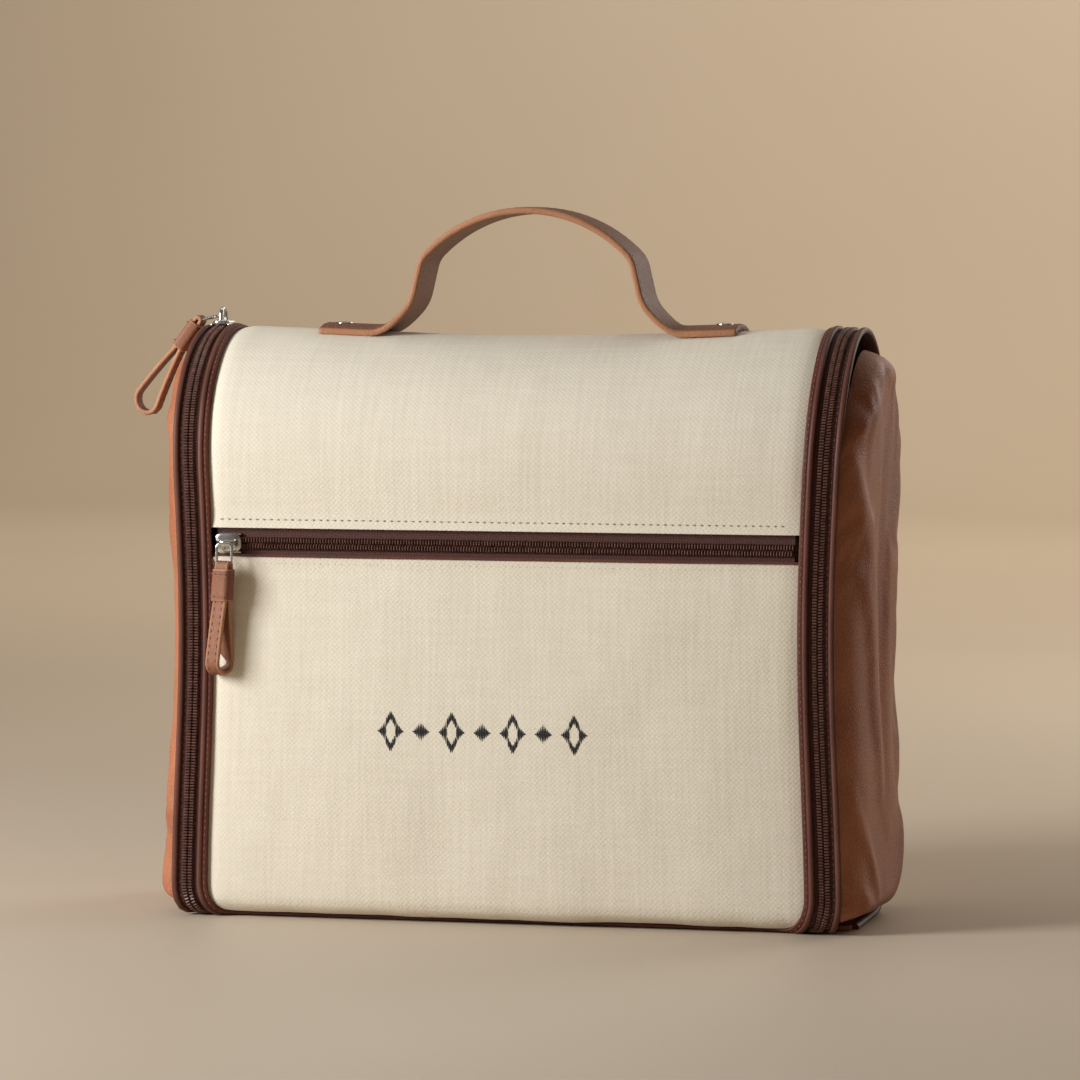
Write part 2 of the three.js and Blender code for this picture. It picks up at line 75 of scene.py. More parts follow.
QUARTER = math.pi / 2
TURN = 2 * math.pi
Piece = bpy.types.Object
Array = np.ndarray
Colour = tuple[float, float, float]


# ---- hand tools


class Bench:
    """The workbench: small helpers round Blender's own modelling operators."""

    @staticmethod
    def clear() -> None:
        """Leaves edit mode and deselects everything."""
        if bpy.context.object and bpy.context.object.mode != "OBJECT":
            bpy.ops.object.mode_set(mode="OBJECT")
        bpy.ops.object.select_all(action="DESELECT")

    @staticmethod
    def take(obj: Piece) -> None:
        """Makes obj the only selected and active object."""
        Bench.clear()
        obj.select_set(True)
        bpy.context.view_layer.objects.active = obj

    @staticmethod
    def named(name: str, scale: Sequence[float] = (1, 1, 1)) -> Piece:
        """Names the active object and its mesh, and puts its place and scale into the mesh.

        Args:
            name: the piece's name.
            scale: how many times larger it is to be along x, y and z.

        Returns:
            The object.
        """
        obj = bpy.context.object
        obj.name = name
        obj.data.name = name
        obj.scale = scale
        bpy.ops.object.transform_apply(location=True, rotation=True, scale=True)
        return obj

    @staticmethod
    def cut(place: Sequence[float], normal: Sequence[float]) -> None:
        """Adds edges, in edit mode, where a plane crosses the piece."""
        bpy.ops.mesh.select_all(action="SELECT")
        bpy.ops.mesh.bisect(plane_co=place, plane_no=normal)

    @staticmethod
    def edit(obj: Piece, everything: bool = True) -> None:
        """Opens obj in edit mode with everything or nothing selected."""
        Bench.take(obj)
        bpy.ops.object.mode_set(mode="EDIT")
        bpy.ops.mesh.select_all(action="SELECT" if everything else "DESELECT")

    @staticmethod
    def pick(test: Callable[[Vector], bool]) -> None:
        """Selects, in edit mode, the vertices whose place passes a test, and what they enclose."""
        mesh = bpy.context.object.data
        model = bmesh.from_edit_mesh(mesh)
        for vert in model.verts:
            vert.select_set(bool(test(vert.co)))
        model.select_flush(True)
        model.select_flush(False)
        bmesh.update_edit_mesh(mesh)

    @staticmethod
    def done() -> Piece:
        """Leaves edit mode and returns the object."""
        bpy.ops.object.mode_set(mode="OBJECT")
        return bpy.context.object

    @staticmethod
    def tidy(obj: Piece) -> Piece:
        """Merges doubles and turns every face outwards."""
        Bench.edit(obj)
        bpy.ops.mesh.remove_doubles(threshold=0.02 * MM)
        bpy.ops.mesh.normals_make_consistent(inside=False)
        return Bench.done()

    @staticmethod
    def modifier(obj: Piece, kind: str, **settings: object) -> Piece:
        """Adds one modifier with its settings and applies it.

        Args:
            obj: the piece.
            kind: the modifier's type, such as SOLIDIFY.
            settings: the modifier's own values.

        Returns:
            The object.
        """
        Bench.take(obj)
        modifier = obj.modifiers.new(kind.lower(), kind)
        for key, value in settings.items():
            setattr(modifier, key, value)
        bpy.ops.object.modifier_apply(modifier=modifier.name)
        return obj

    @staticmethod
    def smooth(obj: Piece, angle: float = math.radians(40)) -> Piece:
        """Shades a piece smooth, with edges sharper than the angle left crisp."""
        Bench.take(obj)
        bpy.ops.object.shade_smooth_by_angle(angle=angle)
        return obj

    @staticmethod
    def move(obj: Piece, place: Callable[[Array], Array]) -> Piece:
        """Moves every vertex by a function of all their places, an array of n rows of x, y and z."""
        mesh = obj.data
        flat = np.empty(len(mesh.vertices) * 3)
        mesh.vertices.foreach_get("co", flat)
        mesh.vertices.foreach_set("co", place(flat.reshape(-1, 3)).ravel())
        mesh.update()
        return obj

    @staticmethod
    def join(pieces: Sequence[Piece], name: str) -> Piece:
        """Joins pieces into one named object."""
        Bench.take(pieces[0])
        for piece in pieces:
            piece.select_set(True)
        bpy.ops.object.join()
        return Bench.named(name)


def stamp(pattern: Piece, frames: Iterable[Array], name: str) -> Piece:
    """Copies a small pattern piece to many places as one mesh, and removes the pattern.

    Args:
        pattern: the small piece, modelled at the origin.
        frames: a 4 by 4 matrix for each copy.
        name: the new object's name.

    Returns:
        The object that holds all the copies.
    """
    mesh = pattern.data
    base = np.array([v.co for v in mesh.vertices]).reshape(-1, 3)
    faces = [tuple(p.vertices) for p in mesh.polygons]
    verts: list[Array] = []
    polygons: list[tuple[int, ...]] = []
    for count, frame in enumerate(frames):
        verts.append(base @ frame[:3, :3].T + frame[:3, 3])
        start = count * len(base)
        polygons.extend(tuple(start + i for i in face) for face in faces)
    data = bpy.data.meshes.new(name)
    data.from_pydata(np.concatenate(verts).tolist(), [], polygons)
    obj = bpy.data.objects.new(name, data)
    bpy.context.scene.collection.objects.link(obj)
    bpy.data.objects.remove(pattern)
    return obj


def rows_of(*columns: Array) -> Array:
    """Columns of numbers put side by side, so that each row is a point."""
    return np.stack(columns, axis=1)


def frame_matrix(origin: Sequence[float], *axes: Sequence[float]) -> Array:
    """A 4 by 4 matrix from a place and three axes.

    Args:
        origin: where the pattern's origin goes.
        axes: where its x, y and z axes point.

    Returns:
        The matrix.
    """
    matrix = np.eye(4)
    matrix[:3, 0], matrix[:3, 1], matrix[:3, 2] = axes
    matrix[:3, 3] = origin
    return matrix


# ---- the form of the bag


def ease(value: Array) -> Array:
    """Smooth step from 0 to 1 of a value clamped to that range."""
    t = np.clip(value, 0.0, 1.0)
    return t * t * (3 - 2 * t)


@dataclass(frozen=True)
class Form:
    """The bag's side outline, and how cloth settles on it.

    The outline starts on the front just above the ground, and runs up the front, over the shoulder and the
    crown, down the back, round the heel and forward along the base. Lengths along it are called runs.
    """

    front: float
    back: float
    height: float
    crown_radius: float = 48 * MM
    shoulder_angle: float = math.radians(35)
    heel_radius: float = 35 * MM
    toe_radius: float = 7 * MM
    toe_lift: float = 1.6 * MM
    waist: float = 0.026
    sag: float = 3.2 * MM

    @staticmethod
    def from_frame() -> "Form":
        """Reads the form's size from the CAD panels."""
        low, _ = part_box("front_pocket_panel")
        _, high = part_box("back_panel")
        _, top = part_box("top_canvas")
        return Form(front=low.y, back=high.y, height=top.z)

    @property
    def crown(self) -> tuple[float, float]:
        """Centre of the crown's arc, as y and z."""
        return self.back - self.crown_radius, self.height - self.crown_radius

    @property
    def shoulder_radius(self) -> float:
        """Radius of the arc that joins the front to the crown."""
        sine = math.sin(self.shoulder_angle)
        return (self.crown[0] - self.front - self.crown_radius * sine) / (1 - sine)

    @property
    def shoulder(self) -> tuple[float, float]:
        """Centre of the shoulder's arc, as y and z."""
        reach = self.shoulder_radius - self.crown_radius
        return self.front + self.shoulder_radius, self.crown[1] - reach * math.cos(self.shoulder_angle)

    @property
    def shoulder_run(self) -> float:
        """Run at which the front starts to lean back."""
        return self.shoulder[1]

    @property
    def crown_run(self) -> float:
        """Run at which the crown's arc starts."""
        return self.shoulder_run + self.shoulder_radius * (QUARTER - self.shoulder_angle)

    @property
    def hinge_run(self) -> float:
        """Run at which the crown ends on the back, where the cover is hinged."""
        return self.crown_run + self.crown_radius * (QUARTER + self.shoulder_angle)

    @property
    def heel_run(self) -> float:
        """Run at which the heel's arc starts."""
        return self.hinge_run + self.crown[1] - self.heel_radius

    @property
    def base_run(self) -> float:
        """Run at which the flat base starts."""
        return self.heel_run + self.heel_radius * QUARTER

    def outline(self, run: Array, off: Array) -> tuple[Array, Array]:
        """Places of points on the side outline.

        Args:
            run: lengths along the outline.
            off: heights off the outline, outwards.

        Returns:
            Their y and z.
        """
        toe_y, toe_z = self.front + self.toe_radius, self.toe_radius + self.toe_lift
        turn = (toe_z - run) / self.toe_radius
        under = np.maximum(turn - QUARTER, 0) * self.toe_radius
        bend = np.clip(turn, 0, QUARTER)
        y = toe_y - (self.toe_radius + off) * np.cos(bend) + under
        z = np.where(turn > 0, toe_z - (self.toe_radius + off) * np.sin(bend), run)
        arcs = (
            (self.shoulder_run, self.shoulder, self.shoulder_radius, QUARTER),
            (self.crown_run, self.crown, self.crown_radius, self.shoulder_angle),
        )
        for start, centre, radius, first in arcs:
            angle = first - (run - start) / radius
            inside = run > start
            y = np.where(inside, centre[0] - (radius + off) * np.sin(angle), y)
            z = np.where(inside, centre[1] + (radius + off) * np.cos(angle), z)
        inside = run > self.hinge_run
        y = np.where(inside, self.back + off, y)
        z = np.where(inside, self.crown[1] - (run - self.hinge_run), z)
        angle = (run - self.heel_run) / self.heel_radius
        inside = run > self.heel_run
        heel_y = self.back - self.heel_radius
        y = np.where(inside, heel_y + (self.heel_radius + off) * np.cos(angle), y)
        z = np.where(inside, self.heel_radius - (self.heel_radius + off) * np.sin(angle), z)
        inside = run > self.base_run
        y = np.where(inside, heel_y - (run - self.base_run), y)
        z = np.where(inside, -off, z)
        return y, z

    def settle(self, points: Array) -> Array:
        """Lets the finished bag settle: a slight waist, and a crown that sags between its ends.

        Args:
            points: rows of x, y and z.

        Returns:
            The moved rows.
        """
        x, y, z = points.T
        level = np.clip(z / self.height, 0, 1)
        narrow = 1 - self.waist * (np.sin(math.pi * level) ** 2)
        across = np.clip(np.abs(x) / (120 * MM), 0, 1)
        drop = self.sag * (1 - across**2) ** 1.5 * ease((z - 0.82 * self.height) / (0.18 * self.height))
        return rows_of(x * narrow, y, z - drop)

    def wrap(self, obj: Piece) -> Piece:
        """Wraps a flat pattern piece onto the form, and keeps its flat places for the weave to follow.

        Args:
            obj: a piece modelled flat: x across, z the run, y the height off the surface, outwards negative.

        Returns:
            The object.
        """
        mesh = obj.data
        flat = np.empty(len(mesh.vertices) * 3)
        mesh.vertices.foreach_get("co", flat)
        kept = mesh.attributes.get("flat") or mesh.attributes.new("flat", "FLOAT_VECTOR", "POINT")
        kept.data.foreach_set("vector", flat)

        def place(points: Array) -> Array:
            """Moves flat rows onto the settled form."""
            y, z = self.outline(points[:, 2], -points[:, 1])
            return self.settle(rows_of(points[:, 0], y, z))

        return Bench.move(obj, place)

    def at(self, across: float, run: float, off: float = 0.0) -> Vector:
        """The settled place of one point of the pattern.

        Args:
            across: its x.
            run: its length along the outline.
            off: its height off the surface.

        Returns:
            The point.
        """
        y, z = self.outline(np.array([run]), np.array([off]))
        return Vector(self.settle(np.array([[across, y[0], z[0]]]))[0])


# ---- the zip's route round the cover


@dataclass(frozen=True)
class Edge:
    """A line parallel to the cover's edge: down one side, round the lower corners and up the other side."""

    half_width: float = 117 * MM
    corner: float = 14 * MM
    foot: float = 0.0

    def legs(self, out: float) -> tuple[float, float, float]:
        """Sizes of the line that lies a given way outside the canvas's edge.

        Args:
            out: how far outside.

        Returns:
            The x of its upright legs, its corner's radius and the run of its lower leg.
        """
        return self.half_width + out, self.corner + out, self.foot - out

    def stations(self, out: float, top: float, pitch: float) -> list[tuple[float, float, float]]:
        """Even stations along the line, from the top left to the top right.

        Args:
            out: how far outside the canvas's edge the line lies.
            top: the run at which it ends on both sides.
            pitch: the distance between stations.

        Returns:
            Each station's x, its run, and the angle of its heading: 0 along +x, a quarter turn straight up.
        """
        side, radius, low = self.legs(out)
        centre_x, centre_z = side - radius, low + radius
        upright = top - centre_z
        quarter = radius * QUARTER
        level = 2 * centre_x
        total = 2 * (upright + quarter) + level
        found = []
        for i in range(int(total / pitch) + 1):
            s = i * pitch
            if s < upright:
                found.append((-side, top - s, -QUARTER))
                continue
            s -= upright
            if s < quarter:
                angle = s / radius
                x = -centre_x - radius * math.cos(angle)
                found.append((x, centre_z - radius * math.sin(angle), angle - QUARTER))
                continue
            s -= quarter
            if s < level:
                found.append((-centre_x + s, low, 0.0))
                continue
            s -= level
            if s < quarter:
                angle = s / radius
                x = centre_x + radius * math.sin(angle)
                found.append((x, centre_z - radius * math.cos(angle), angle))
                continue
            found.append((side, centre_z + s - quarter, QUARTER))
        return found

    def strip(self, name: str, out: float, size: tuple[float, float], lift: float, top: float) -> Piece:
        """A strip with a rounded section that follows the line, swept by extruding and spinning.

        Args:
            name: the piece's name.
            out: how far outside the canvas's edge its middle lies.
            size: its width and its thickness.
            lift: how far its middle stands off the surface.
            top: the run at which it ends on both sides.

        Returns:
            The flat piece.
        """
        side, radius, low = self.legs(out)
        centre_x, centre_z = side - radius, low + radius
        Bench.clear()
        bpy.ops.mesh.primitive_circle_add(
            vertices=12, radius=0.5, fill_type="NGON", location=(-side, -lift, top)
        )
        obj = Bench.named(name)
        width, thickness = size
        square = 0.62

        def section(points: Array) -> Array:
            """Turns the round section into a flat rounded bar."""
            rel = (points - np.array([-side, -lift, top])) * 2
            rel = np.sign(rel) * np.abs(rel) ** square * 0.5
            return rel * np.array([width, thickness, 0]) + np.array([-side, -lift, top])

        Bench.move(obj, section)
        Bench.edit(obj)
        upright = top - centre_z
        steps = int(upright / (3 * MM))
        bpy.ops.mesh.extrude_repeat(steps=steps, offset=(0, 0, -upright / steps))
        quarter = {"steps": 12, "angle": QUARTER, "axis": (0, 1, 0)}
        bpy.ops.mesh.spin(center=(-centre_x, 0, centre_z), **quarter)
        level = int(2 * centre_x / (6 * MM))
        bpy.ops.mesh.extrude_repeat(steps=level, offset=(2 * centre_x / level, 0, 0))
        bpy.ops.mesh.spin(center=(centre_x, 0, centre_z), **quarter)
        bpy.ops.mesh.extrude_repeat(steps=steps, offset=(0, 0, upright / steps))
        Bench.done()
        return Bench.tidy(obj)


# ---- finishes


class Wire:
    """One socket of a node tree, with arithmetic that adds the Math nodes it needs."""

    def __init__(self, paint: "Paint", socket: bpy.types.NodeSocket) -> None:
        """Wraps a socket of a material's tree."""
        self.paint = paint
        self.socket = socket

    def _math(self, operation: str, *values: "Wire | float") -> "Wire":
        """Adds a Math node that works on the given values in order."""
        inputs = dict(enumerate(values))
        return self.paint.node("Math", {"operation": operation}, inputs)

    def __add__(self, other: "Wire | float") -> "Wire":
        """Adds."""
        return self._math("ADD", self, other)

    __radd__ = __add__

    def __mul__(self, other: "Wire | float") -> "Wire":
        """Multiplies."""
        return self._math("MULTIPLY", self, other)

    __rmul__ = __mul__

    def __sub__(self, other: "Wire | float") -> "Wire":
        """Subtracts."""
        return self._math("SUBTRACT", self, other)

    def __rsub__(self, other: float) -> "Wire":
        """Subtracts from a number."""
        return self._math("SUBTRACT", other, self)

    def sine(self) -> "Wire":
        """Its sine."""
        return self._math("SINE", self)

    def size(self) -> "Wire":
        """Its absolute value."""
        return self._math("ABSOLUTE", self)

    def over(self, limit: float, soft: float) -> "Wire":
        """A mask that rises from 0 to 1 as the value passes a limit."""
        settings = {"interpolation_type": "SMOOTHSTEP"}
        return self.paint.node(
            "MapRange", settings, {0: self, 1: limit - soft, 2: limit + soft, 3: 0.0, 4: 1.0}
        )


class Paint:
    """A material's node tree while it is being built."""

    def __init__(self, name: str) -> None:
        """Starts a material with a Principled shader."""
        self.material = bpy.data.materials.new(name)
        self.material.use_nodes = True
        self.tree = self.material.node_tree
        self.shader = self.tree.nodes["Principled BSDF"]

    def node(
        self, kind: str, settings: dict[str, object], inputs: dict[int | str, object], out: int | str = 0
    ) -> Wire:
        """Adds one node.

        Args:
            kind: the node's type, without its ShaderNode prefix.
            settings: its own properties, which are set first.
            inputs: values or wires for its sockets, by number or name.
            out: the output wanted.

        Returns:
            That output.
        """
        node = self.tree.nodes.new("ShaderNode" + kind)
        for key, value in settings.items():
            setattr(node, key, value)
        for key, value in inputs.items():
            self._feed(node.inputs[key], value)
        return Wire(self, node.outputs[out])

    def _feed(self, socket: bpy.types.NodeSocket, value: object) -> None:
        """Links a wire to a socket, or sets the socket's value."""
        if isinstance(value, Wire):
            self.tree.links.new(value.socket, socket)
        elif isinstance(value, tuple) and len(value) == 3 and socket.type == "RGBA":
            socket.default_value = (*value, 1.0)
        else:
            socket.default_value = value

    def place(self) -> Wire:
        """The place of a point on the object."""
        return self.node("TexCoord", {}, {}, "Object")

    def flat(self) -> Wire:
        """The place of a point on the flat pattern piece."""
        return self.node("Attribute", {"attribute_name": "flat"}, {}, "Vector")

    def stretch(self, vector: Wire, scale: Colour) -> Wire:
        """A vector with each axis scaled."""
        return self.node("Mapping", {}, {"Vector": vector, "Scale": scale})

    def parts(self, vector: Wire) -> tuple[Wire, Wire, Wire]:
        """The three numbers of a vector."""
        first = self.node("SeparateXYZ", {}, {0: vector})
        outputs = first.socket.node.outputs
        return first, Wire(self, outputs[1]), Wire(self, outputs[2])

    def noise(self, vector: Wire, scale: float, detail: float = 3.0, rough: float = 0.5) -> Wire:
        """Soft noise from 0 to 1."""
        return self.node(
            "TexNoise", {}, {"Vector": vector, "Scale": scale, "Detail": detail, "Roughness": rough}
        )

    def blend(self, mask: Wire, low: Colour | Wire, high: Colour | Wire) -> Wire:
        """Mixes two colours by a mask."""
        settings = {"data_type": "RGBA"}
        return self.node("Mix", settings, {0: mask, 6: low, 7: high}, 2)

    def bump(self, height: Wire, strength: float, distance: float) -> Wire:
        """A bump from a height."""
        return self.node("Bump", {}, {"Height": height, "Strength": strength, "Distance": distance})

    def finish(self, **sockets: object) -> bpy.types.Material:
        """Feeds the shader's sockets, named with underscores for spaces, and returns the material."""
        for key, value in sockets.items():
            self._feed(self.shader.inputs[key.replace("_", " ")], value)
        return self.material


@dataclass(frozen=True)
class Woven:
    """A plain-woven cloth whose threads follow the flat pattern piece."""

    name: str
    light: Colour
    dark: Colour
    pitch: float = 2.0 * MM
    slub: float = 1.0
    relief: float = 0.32 * MM
    roughness: float = 0.88

    def make(self) -> bpy.types.Material:
        """Builds the material."""
        paint = Paint(self.name)
        flat = paint.flat()
        x, _, z = paint.parts(flat)
        wander = paint.noise(flat, 90, 2) * 1.6
        turn = TURN / self.pitch
        crossing = (x * turn + wander).sine() * (z * turn + wander).sine()
        thin, long = 0.84 / self.pitch, 34.0
        upright = paint.noise(paint.stretch(flat, (thin, 1, long)), 1.0, 2)
        level = paint.noise(paint.stretch(flat, (long, 1, thin)), 1.0, 2)
        threads = upright + level
        cloudy = paint.noise(flat, 14, 3)
        height = crossing * 0.22 + threads * self.slub
        shade = (threads * 0.30 + crossing * 0.12 + cloudy * 0.16 - 0.02).over(0.5, 0.42)
        colour = paint.blend(shade, self.dark, self.light)
        return paint.finish(
            Base_Color=colour, Roughness=self.roughness, Normal=paint.bump(height, 0.34, self.relief)
        )


@dataclass(frozen=True)
class Leather:
    """Grained leather with soft mottling, a little wax and worn high spots."""

    name: str
    light: Colour
    dark: Colour
    grain: float = 620.0
    relief: float = 0.22 * MM
    roughness: float = 0.46
    coat: float = 0.04
    shine: float = 0.28
    raw: Colour | None = None

    def make(self) -> bpy.types.Material:
        """Builds the material."""
        paint = Paint(self.name)
        place = paint.place()
        warped = paint.node("VectorMath", {"operation": "MULTIPLY_ADD"}, {
            0: paint.node("TexNoise", {}, {"Vector": place, "Scale": 160.0}, "Color"),
            1: (0.0016, 0.0016, 0.0016),
            2: place,
        })
        cells = paint.node(
            "TexVoronoi", {"feature": "DISTANCE_TO_EDGE"}, {"Vector": warped, "Scale": self.grain}
        )
        pebble = cells.over(0.16, 0.16)
        fine = paint.noise(place, self.grain * 2.6, 2)
        mottle = paint.noise(place, 34, 4, 0.6)
        streak = paint.noise(paint.stretch(place, (1.0, 1.0, 0.25)), 60, 3)
        shade = (mottle * 0.75 + streak * 0.35 + pebble * 0.12 - 0.1).over(0.5, 0.3)
        height = pebble * 0.7 + fine * 0.35 + mottle * 0.5
        gloss = self.roughness + 0.12 - pebble * 0.1 + (mottle - 0.5) * 0.18
        colour = paint.blend(shade, self.dark, self.light)
        if self.raw:
            rim = paint.node("Attribute", {"attribute_name": "rim"}, {}, "Fac")
            colour = paint.blend(rim * (0.45 + streak * 0.8), colour, self.raw)
        return paint.finish(
            Base_Color=colour, Roughness=gloss, Specular_IOR_Level=self.shine, Coat_Weight=self.coat,
            Coat_Roughness=0.38, Normal=paint.bump(height, 0.5, self.relief),
        )


@dataclass(frozen=True)
class Tape:
    """Zip tape or elastic: fine ribs that run along the piece, in a dark matte thread."""

    name: str
    light: Colour
    dark: Colour
    rib: float = 0.62 * MM

    def make(self) -> bpy.types.Material:
        """Builds the material."""
        paint = Paint(self.name)
        place = paint.place()
        x, y, z = paint.parts(place)
        turn = TURN / self.rib
        ribs = (x * turn).sine() * 0.5 + ((z + y) * (turn * 0.72)).sine() * 0.5
        fuzz = paint.noise(place, 1500, 2)
        shade = (ribs * 0.25 + fuzz * 0.8 + 0.1).over(0.5, 0.4)
        return paint.finish(
            Base_Color=paint.blend(shade, self.dark, self.light), Roughness=0.82,
            Normal=paint.bump(ribs + fuzz, 0.5, 0.12 * MM),
        )


@dataclass(frozen=True)
class Nylon:
    """Extruded nylon: a satin plastic with faint streaks."""

    name: str
    light: Colour
    dark: Colour
    roughness: float = 0.36

    def make(self) -> bpy.types.Material:
        """Builds the material."""
        paint = Paint(self.name)
        place = paint.place()
        streak = paint.noise(place, 420, 3)
        return paint.finish(
            Base_Color=paint.blend(streak.over(0.5, 0.25), self.dark, self.light),
            Roughness=self.roughness + streak * 0.16,
            Normal=paint.bump(streak, 0.2, 0.05 * MM),
        )


@dataclass(frozen=True)
class Plated:
    """Nickel plate, polished, with faint handling scratches."""

    name: str
    colour: Colour = (0.74, 0.73, 0.71)

    def make(self) -> bpy.types.Material:
        """Builds the material."""
        paint = Paint(self.name)
        place = paint.place()
        scratch = paint.noise(paint.stretch(place, (1.0, 1.0, 0.06)), 2400, 2)
        cloud = paint.noise(place, 260, 3)
        return paint.finish(
            Base_Color=paint.blend(cloud, tuple(0.82 * c for c in self.colour), self.colour),
            Metallic=1.0,
            Roughness=0.13 + cloud * 0.14 + scratch * 0.06,
            Normal=paint.bump(scratch + cloud, 0.12, 0.04 * MM),
        )


@dataclass(frozen=True)
class Thread:
    """Twisted sewing thread."""

    name: str
    colour: Colour
    twist: float = 0.5 * MM

    def make(self) -> bpy.types.Material:
        """Builds the material."""
        paint = Paint(self.name)
        place = paint.place()
        x, y, z = paint.parts(place)
        ply = ((x + z + y * 0.6) * (TURN / self.twist)).sine()
        fuzz = paint.noise(place, 2600, 2)
        shade = (ply * 0.25 + fuzz).over(0.5, 0.5)
        dark = tuple(0.62 * c for c in self.colour)
        return paint.finish(
            Base_Color=paint.blend(shade, dark, self.colour), Roughness=0.7, Sheen_Weight=0.2,
            Normal=paint.bump(ply + fuzz, 0.5, 0.08 * MM),
        )


@dataclass(frozen=True)
class Net:
    """Knitted mesh cloth, open between its threads."""

    name: str
    colour: Colour
    hole: float = 1.9 * MM

    def make(self) -> bpy.types.Material:
        """Builds the material."""
        paint = Paint(self.name)
        x, _, z = paint.parts(paint.place())
        turn = math.pi / self.hole
        open_part = ((x * turn).sine() * (z * turn).sine()).size()
        solid = 1 - open_part.over(0.42, 0.06)
        fuzz = paint.noise(paint.place(), 1800, 2)
        dark = tuple(0.6 * c for c in self.colour)
        return paint.finish(
            Base_Color=paint.blend(fuzz, dark, self.colour), Roughness=0.8, Alpha=solid,
            Normal=paint.bump(open_part, 0.4, 0.15 * MM),
        )


class Finish(Enum):
    """The bag's finishes, each with the record's slot that it belongs to."""

    CANVAS = ("canvas", Woven("ecru_canvas", (0.86, 0.795, 0.675), (0.72, 0.635, 0.50)))
    TAN = ("tan_leather", Leather("tan_leather", (0.46, 0.172, 0.082), (0.27, 0.086, 0.039)))
    STRAP = (
        "tan_leather",
        Leather(
            "strap_leather", (0.23, 0.088, 0.047), (0.125, 0.044, 0.023), 700.0, 0.18 * MM,
            raw=(0.44, 0.20, 0.10),
        ),
    )
    PULL = (
        "tan_leather",
        Leather(
            "pull_leather", (0.30, 0.122, 0.064), (0.16, 0.058, 0.03), 900.0, 0.16 * MM,
            raw=(0.50, 0.24, 0.13),
        ),
    )
    BINDING = (
        "binding", Leather("binding_leather", (0.13, 0.031, 0.017), (0.065, 0.015, 0.009), 1000.0, 0.12 * MM)
    )
    # A lighter copy of the binding's leather for the rolled lip, the welt and the edging: painted highlight on
    # their rounded edges.
    LIP = ("binding", Leather("lip_leather_painted_highlight", (0.15, 0.048, 0.028), (0.075, 0.023, 0.014), 1000.0, 0.1 * MM))
    TAPE = ("zip_tape", Tape("zip_tape", (0.11, 0.036, 0.026), (0.045, 0.015, 0.012)))
    COIL = ("zip_coil", Nylon("zip_coil", (0.15, 0.062, 0.042), (0.07, 0.027, 0.019)))
    LINING = (
        "lining",
        Woven("lining_cloth", (0.30, 0.20, 0.13), (0.18, 0.115, 0.07), 1.2 * MM, 0.6, 0.12 * MM, 0.75),
    )
    NET = ("mesh", Net("pocket_net", (0.08, 0.05, 0.04)))
    ELASTIC = ("elastic", Tape("ribbed_elastic", (0.09, 0.045, 0.03), (0.045, 0.02, 0.015), 1.4 * MM))
    BOARD = ("stiffener", Nylon("board", (0.12, 0.115, 0.11), (0.07, 0.068, 0.065), 0.7))
    NICKEL = ("nickel", Plated("polished_nickel"))
    # The ecru thread is darker than the canvas it sews: painted shade of the stitch holes and the furrow along
    # each row.
    SEAM = ("canvas", Thread("ecru_thread_painted_shade", (0.60, 0.52, 0.39)))
    LEATHER_SEAM = ("tan_leather", Thread("brown_thread", (0.30, 0.14, 0.075)))
    MOTIF = ("canvas", Thread("black_thread", (0.012, 0.012, 0.013), 0.7 * MM))


class Studio:
    """Keeps one material for each finish, and dresses pieces in them."""

    def __init__(self, form: Form) -> None:
        """Builds every material once."""
        self.form = form
        self.materials = {finish: finish.value[1].make() for finish in Finish}

    def dress(
        self, obj: Piece, finish: Finish, body: str | tuple[str, str], replaces: Sequence[str] = ()
    ) -> Piece:
        """Gives a piece its finish, and hangs it on the frame; a piece given two bodies is hung on neither and
        stays in place.

        Args:
            obj: the finished piece.
            finish: its finish.
            body: the body it rides on, or a pair of bodies, which leaves it on neither.
            replaces: the CAD nodes it stands for.

        Returns:
            The object.
        """
        obj.data.materials.clear()
        obj.data.materials.append(self.materials[finish])
        if replaces:
            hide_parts(*replaces)
        if isinstance(body, str):
            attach(obj, body)
        else:
            low, high = Joints.fold_range(body)
            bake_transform(obj)
        LOG.info("%s: %d faces, on %s", obj.name, len(obj.data.polygons), body)
        return obj

    def sew(
        self, flat: Piece, finish: Finish, body: str | tuple[str, str], replaces: Sequence[str] = ()
    ) -> Piece:
        """Wraps a flat piece onto the bag's form and dresses it.

        Args:
            flat: the piece as it was cut, flat.
            finish: its finish.
            body: the body it rides on, or a pair of bodies, which leaves it on neither.
            replaces: the CAD nodes it stands for.

        Returns:
            The wrapped piece.
        """
        return self.dress(self.form.wrap(flat), finish, body, replaces)


class Joints:
    """Pairs of bodies that a piece lies across, at the cover's fold and at the handle's feet."""

    FOLD = ("front_flap", "top_flap")
    HANDLE = ("top_flap", "handle")

    @staticmethod
    def fold_range(pair: tuple[str, str]) -> tuple[Vector, Vector]:
        """The stretch where a piece lying across both bodies passes from the first to the second.

        Args:
            pair: the two bodies.

        Returns:
            The points where that stretch starts and ends.
        """
        if pair == Joints.FOLD:
            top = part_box("front_upper_strip")[1]
            reach = Vector((0, 0, 7 * MM))
            return top - reach * 0.55, top + reach
        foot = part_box("handle_left_foot")[1]
        start = Vector((0, foot.y, foot.z + 1 * MM))
        return start, start + Vector((0, 0, 9 * MM))


# ---- cutting and sewing


